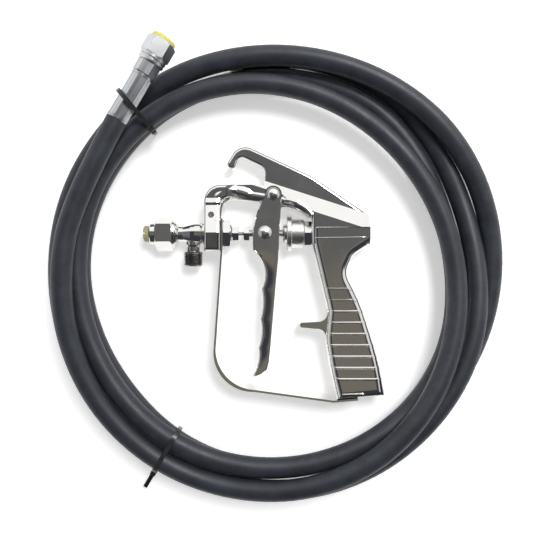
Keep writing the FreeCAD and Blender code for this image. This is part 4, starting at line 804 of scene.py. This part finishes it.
class SPRAYGUN_OT_stage(bpy.types.Operator):
    """Sets the white floor, the two soft lamps, the light from all round and the camera"""
    bl_idname = "spraygun.stage"
    bl_label = "Floor, light and camera"

    def execute(self, context):
        look = context.scene.spraygun_stage
        half = look.floor_half
        mesh = bpy.data.meshes.new("floor")
        mesh.from_pydata([(-half, -half, 0), (half, -half, 0), (half, half, 0), (-half, half, 0)], [],
                         [(0, 1, 2, 3)])
        floor = bpy.data.objects.new("floor", mesh)
        context.scene.collection.objects.link(floor)
        mesh.materials.append(self.floor_material())
        self.lamps(context, look)
        self.world(context, look)
        self.camera(context)
        context.scene.view_settings.view_transform = "Standard"
        return {"FINISHED"}

    def floor_material(self):
        """White floor that keeps the object's shadow, lifted to white where the camera or metal sees
        it."""
        material = bpy.data.materials.new("White floor")
        tree = empty_tree(material)
        output = tree.nodes.new("ShaderNodeOutputMaterial")
        matt = wire(tree, "ShaderNodeBsdfDiffuse", {"Color": (0.90, 0.90, 0.90, 1)})
        path = tree.nodes.new("ShaderNodeLightPath").outputs
        seen = maths(tree, "MAXIMUM", path["Is Camera Ray"], path["Is Glossy Ray"])
        seen = maths(tree, "MAXIMUM", seen, path["Is Transmission Ray"])
        glow = wire(tree, "ShaderNodeEmission", {"Color": (1, 1, 1, 1),
                                                 "Strength": maths(tree, "MULTIPLY", seen, FLOOR_GLOW)})
        both = wire(tree, "ShaderNodeAddShader", {0: matt.outputs[0], 1: glow.outputs[0]})
        tree.links.new(both.outputs[0], output.inputs["Surface"])
        return material

    def lamps(self, context, look):
        """Two large soft lamps high on the right, towards the hook: the steeper one casts the shadows,
        the other one puts the highlights on rubber and metal."""
        for name, (place, matt) in LAMPS.items():
            light = bpy.data.lights.new(name, "AREA")
            light.shape = "DISK"
            light.size = LAMP_SIZE
            light.energy = look.lamp_power
            lamp = bpy.data.objects.new(name, light)
            lamp.location = place
            lamp.rotation_euler = Vector(place).to_track_quat("Z", "Y").to_euler()
            lamp.visible_diffuse = matt
            lamp.visible_glossy = not matt
            context.scene.collection.objects.link(lamp)

    def world(self, context, look):
        """Light from all round, and plain white behind the floor. Gloss sees a small studio instead: a
        dim ceiling, dark walls that are paler on the left, a bright bank towards the hook, a window on
        the right and a white horizon."""
        world = bpy.data.worlds.new("Studio")
        context.scene.world = world
        tree = empty_tree(world)
        output = tree.nodes.new("ShaderNodeOutputWorld")
        way = tree.nodes.new("ShaderNodeTexCoord").outputs["Generated"]
        axes = wire(tree, "ShaderNodeSeparateXYZ", {"Vector": way}).outputs
        ceiling = mixed(tree, ranged(tree, axes["Y"], 0.07, -0.02), (0.102, 0.104, 0.106, 1),
                        (0.157, 0.146, 0.122, 1))
        walls = mixed(tree, ranged(tree, axes["X"], -0.62, -0.85, 0.0, 0.8), (0.034, 0.037, 0.046, 1),
                      (0.55, 0.56, 0.58, 1))
        room = mixed(tree, ranged(tree, axes["Z"], 0.895, 0.955), walls, ceiling)
        bank = ranged(tree, axes["Y"], 0.30, 0.44)
        side = wire(tree, "ShaderNodeVectorMath", {0: way, 1: WINDOW_WAY}, operation="DOT_PRODUCT")
        window = ranged(tree, side.outputs["Value"], 0.86, 0.94, 0.0, 0.75)
        horizon = maths(tree, "MULTIPLY", ranged(tree, axes["Z"], 0.30, 0.16),
                        ranged(tree, axes["Y"], -0.70, -0.40))
        bright = maths(tree, "MAXIMUM", maths(tree, "MAXIMUM", bank, window), horizon)
        studio = mixed(tree, bright, room, (1.0, 1.0, 1.0, 1))
        plain, gloss, seen = (
            wire(tree, "ShaderNodeBackground", {"Color": colour, "Strength": strength}).outputs[0]
            for colour, strength in (((1, 1, 1, 1), look.fill), (studio, 1.15), ((1, 1, 1, 1), 1.0)))
        path = tree.nodes.new("ShaderNodeLightPath").outputs
        light = wire(tree, "ShaderNodeMixShader", {0: path["Is Glossy Ray"], 1: plain, 2: gloss})
        light = wire(tree, "ShaderNodeMixShader", {0: path["Is Camera Ray"], 1: light.outputs[0],
                                                   2: seen})
        tree.links.new(light.outputs[0], output.inputs["Surface"])

    def camera(self, context):
        """Camera straight above, its picture as wide as the photograph's at the gun's middle height."""
        data = bpy.data.cameras.new("camera")
        data.sensor_width = 36.0
        data.lens = data.sensor_width / 2 * CAMERA_TO_MIDDLE / CAMERA_HALF_WIDTH
        data.clip_start, data.clip_end = 0.01, 50.0
        camera = bpy.data.objects.new("camera", data)
        camera.location = CAMERA_PLACE
        context.scene.collection.objects.link(camera)
        context.scene.camera = camera


class SPRAYGUN_PT_panel(bpy.types.Panel):
    """Lists the steps that dress the spray gun"""
    bl_label = "Spray gun"
    bl_idname = "SPRAYGUN_PT_panel"
    bl_space_type = "VIEW_3D"
    bl_region_type = "UI"
    bl_category = "Spray gun"

    def draw(self, context):
        scene = context.scene
        for settings in (scene.spraygun_hose, scene.spraygun_metal, scene.spraygun_stage):
            box = self.layout.box()
            for key in settings.__annotations__:
                box.prop(settings, key)
        for operator in OPERATORS:
            self.layout.operator(operator.bl_idname)


SETTINGS = {"spraygun_hose": HoseSettings, "spraygun_metal": MetalSettings,
            "spraygun_stage": StageSettings}
OPERATORS = (SPRAYGUN_OT_finishes, SPRAYGUN_OT_trigger, SPRAYGUN_OT_beads, SPRAYGUN_OT_arch,
             SPRAYGUN_OT_ties, SPRAYGUN_OT_hose, SPRAYGUN_OT_stage)


def register():
    for name, settings in SETTINGS.items():
        bpy.utils.register_class(settings)
        setattr(bpy.types.Scene, name, bpy.props.PointerProperty(type=settings))
    for operator in OPERATORS:
        bpy.utils.register_class(operator)
    bpy.utils.register_class(SPRAYGUN_PT_panel)


def unregister():
    bpy.utils.unregister_class(SPRAYGUN_PT_panel)
    for operator in reversed(OPERATORS):
        bpy.utils.unregister_class(operator)
    for name, settings in SETTINGS.items():
        delattr(bpy.types.Scene, name)
        bpy.utils.unregister_class(settings)


def main():
    """Registers the add-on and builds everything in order."""
    register()
    bpy.ops.spraygun.finishes()
    bpy.ops.spraygun.trigger()
    bpy.ops.spraygun.beads()
    bpy.ops.spraygun.arch()
    bpy.ops.spraygun.ties()
    bpy.ops.spraygun.hose()
    bpy.ops.spraygun.stage()


EFFECTS = effect_groups()

if __name__ == "__main__":
    main()
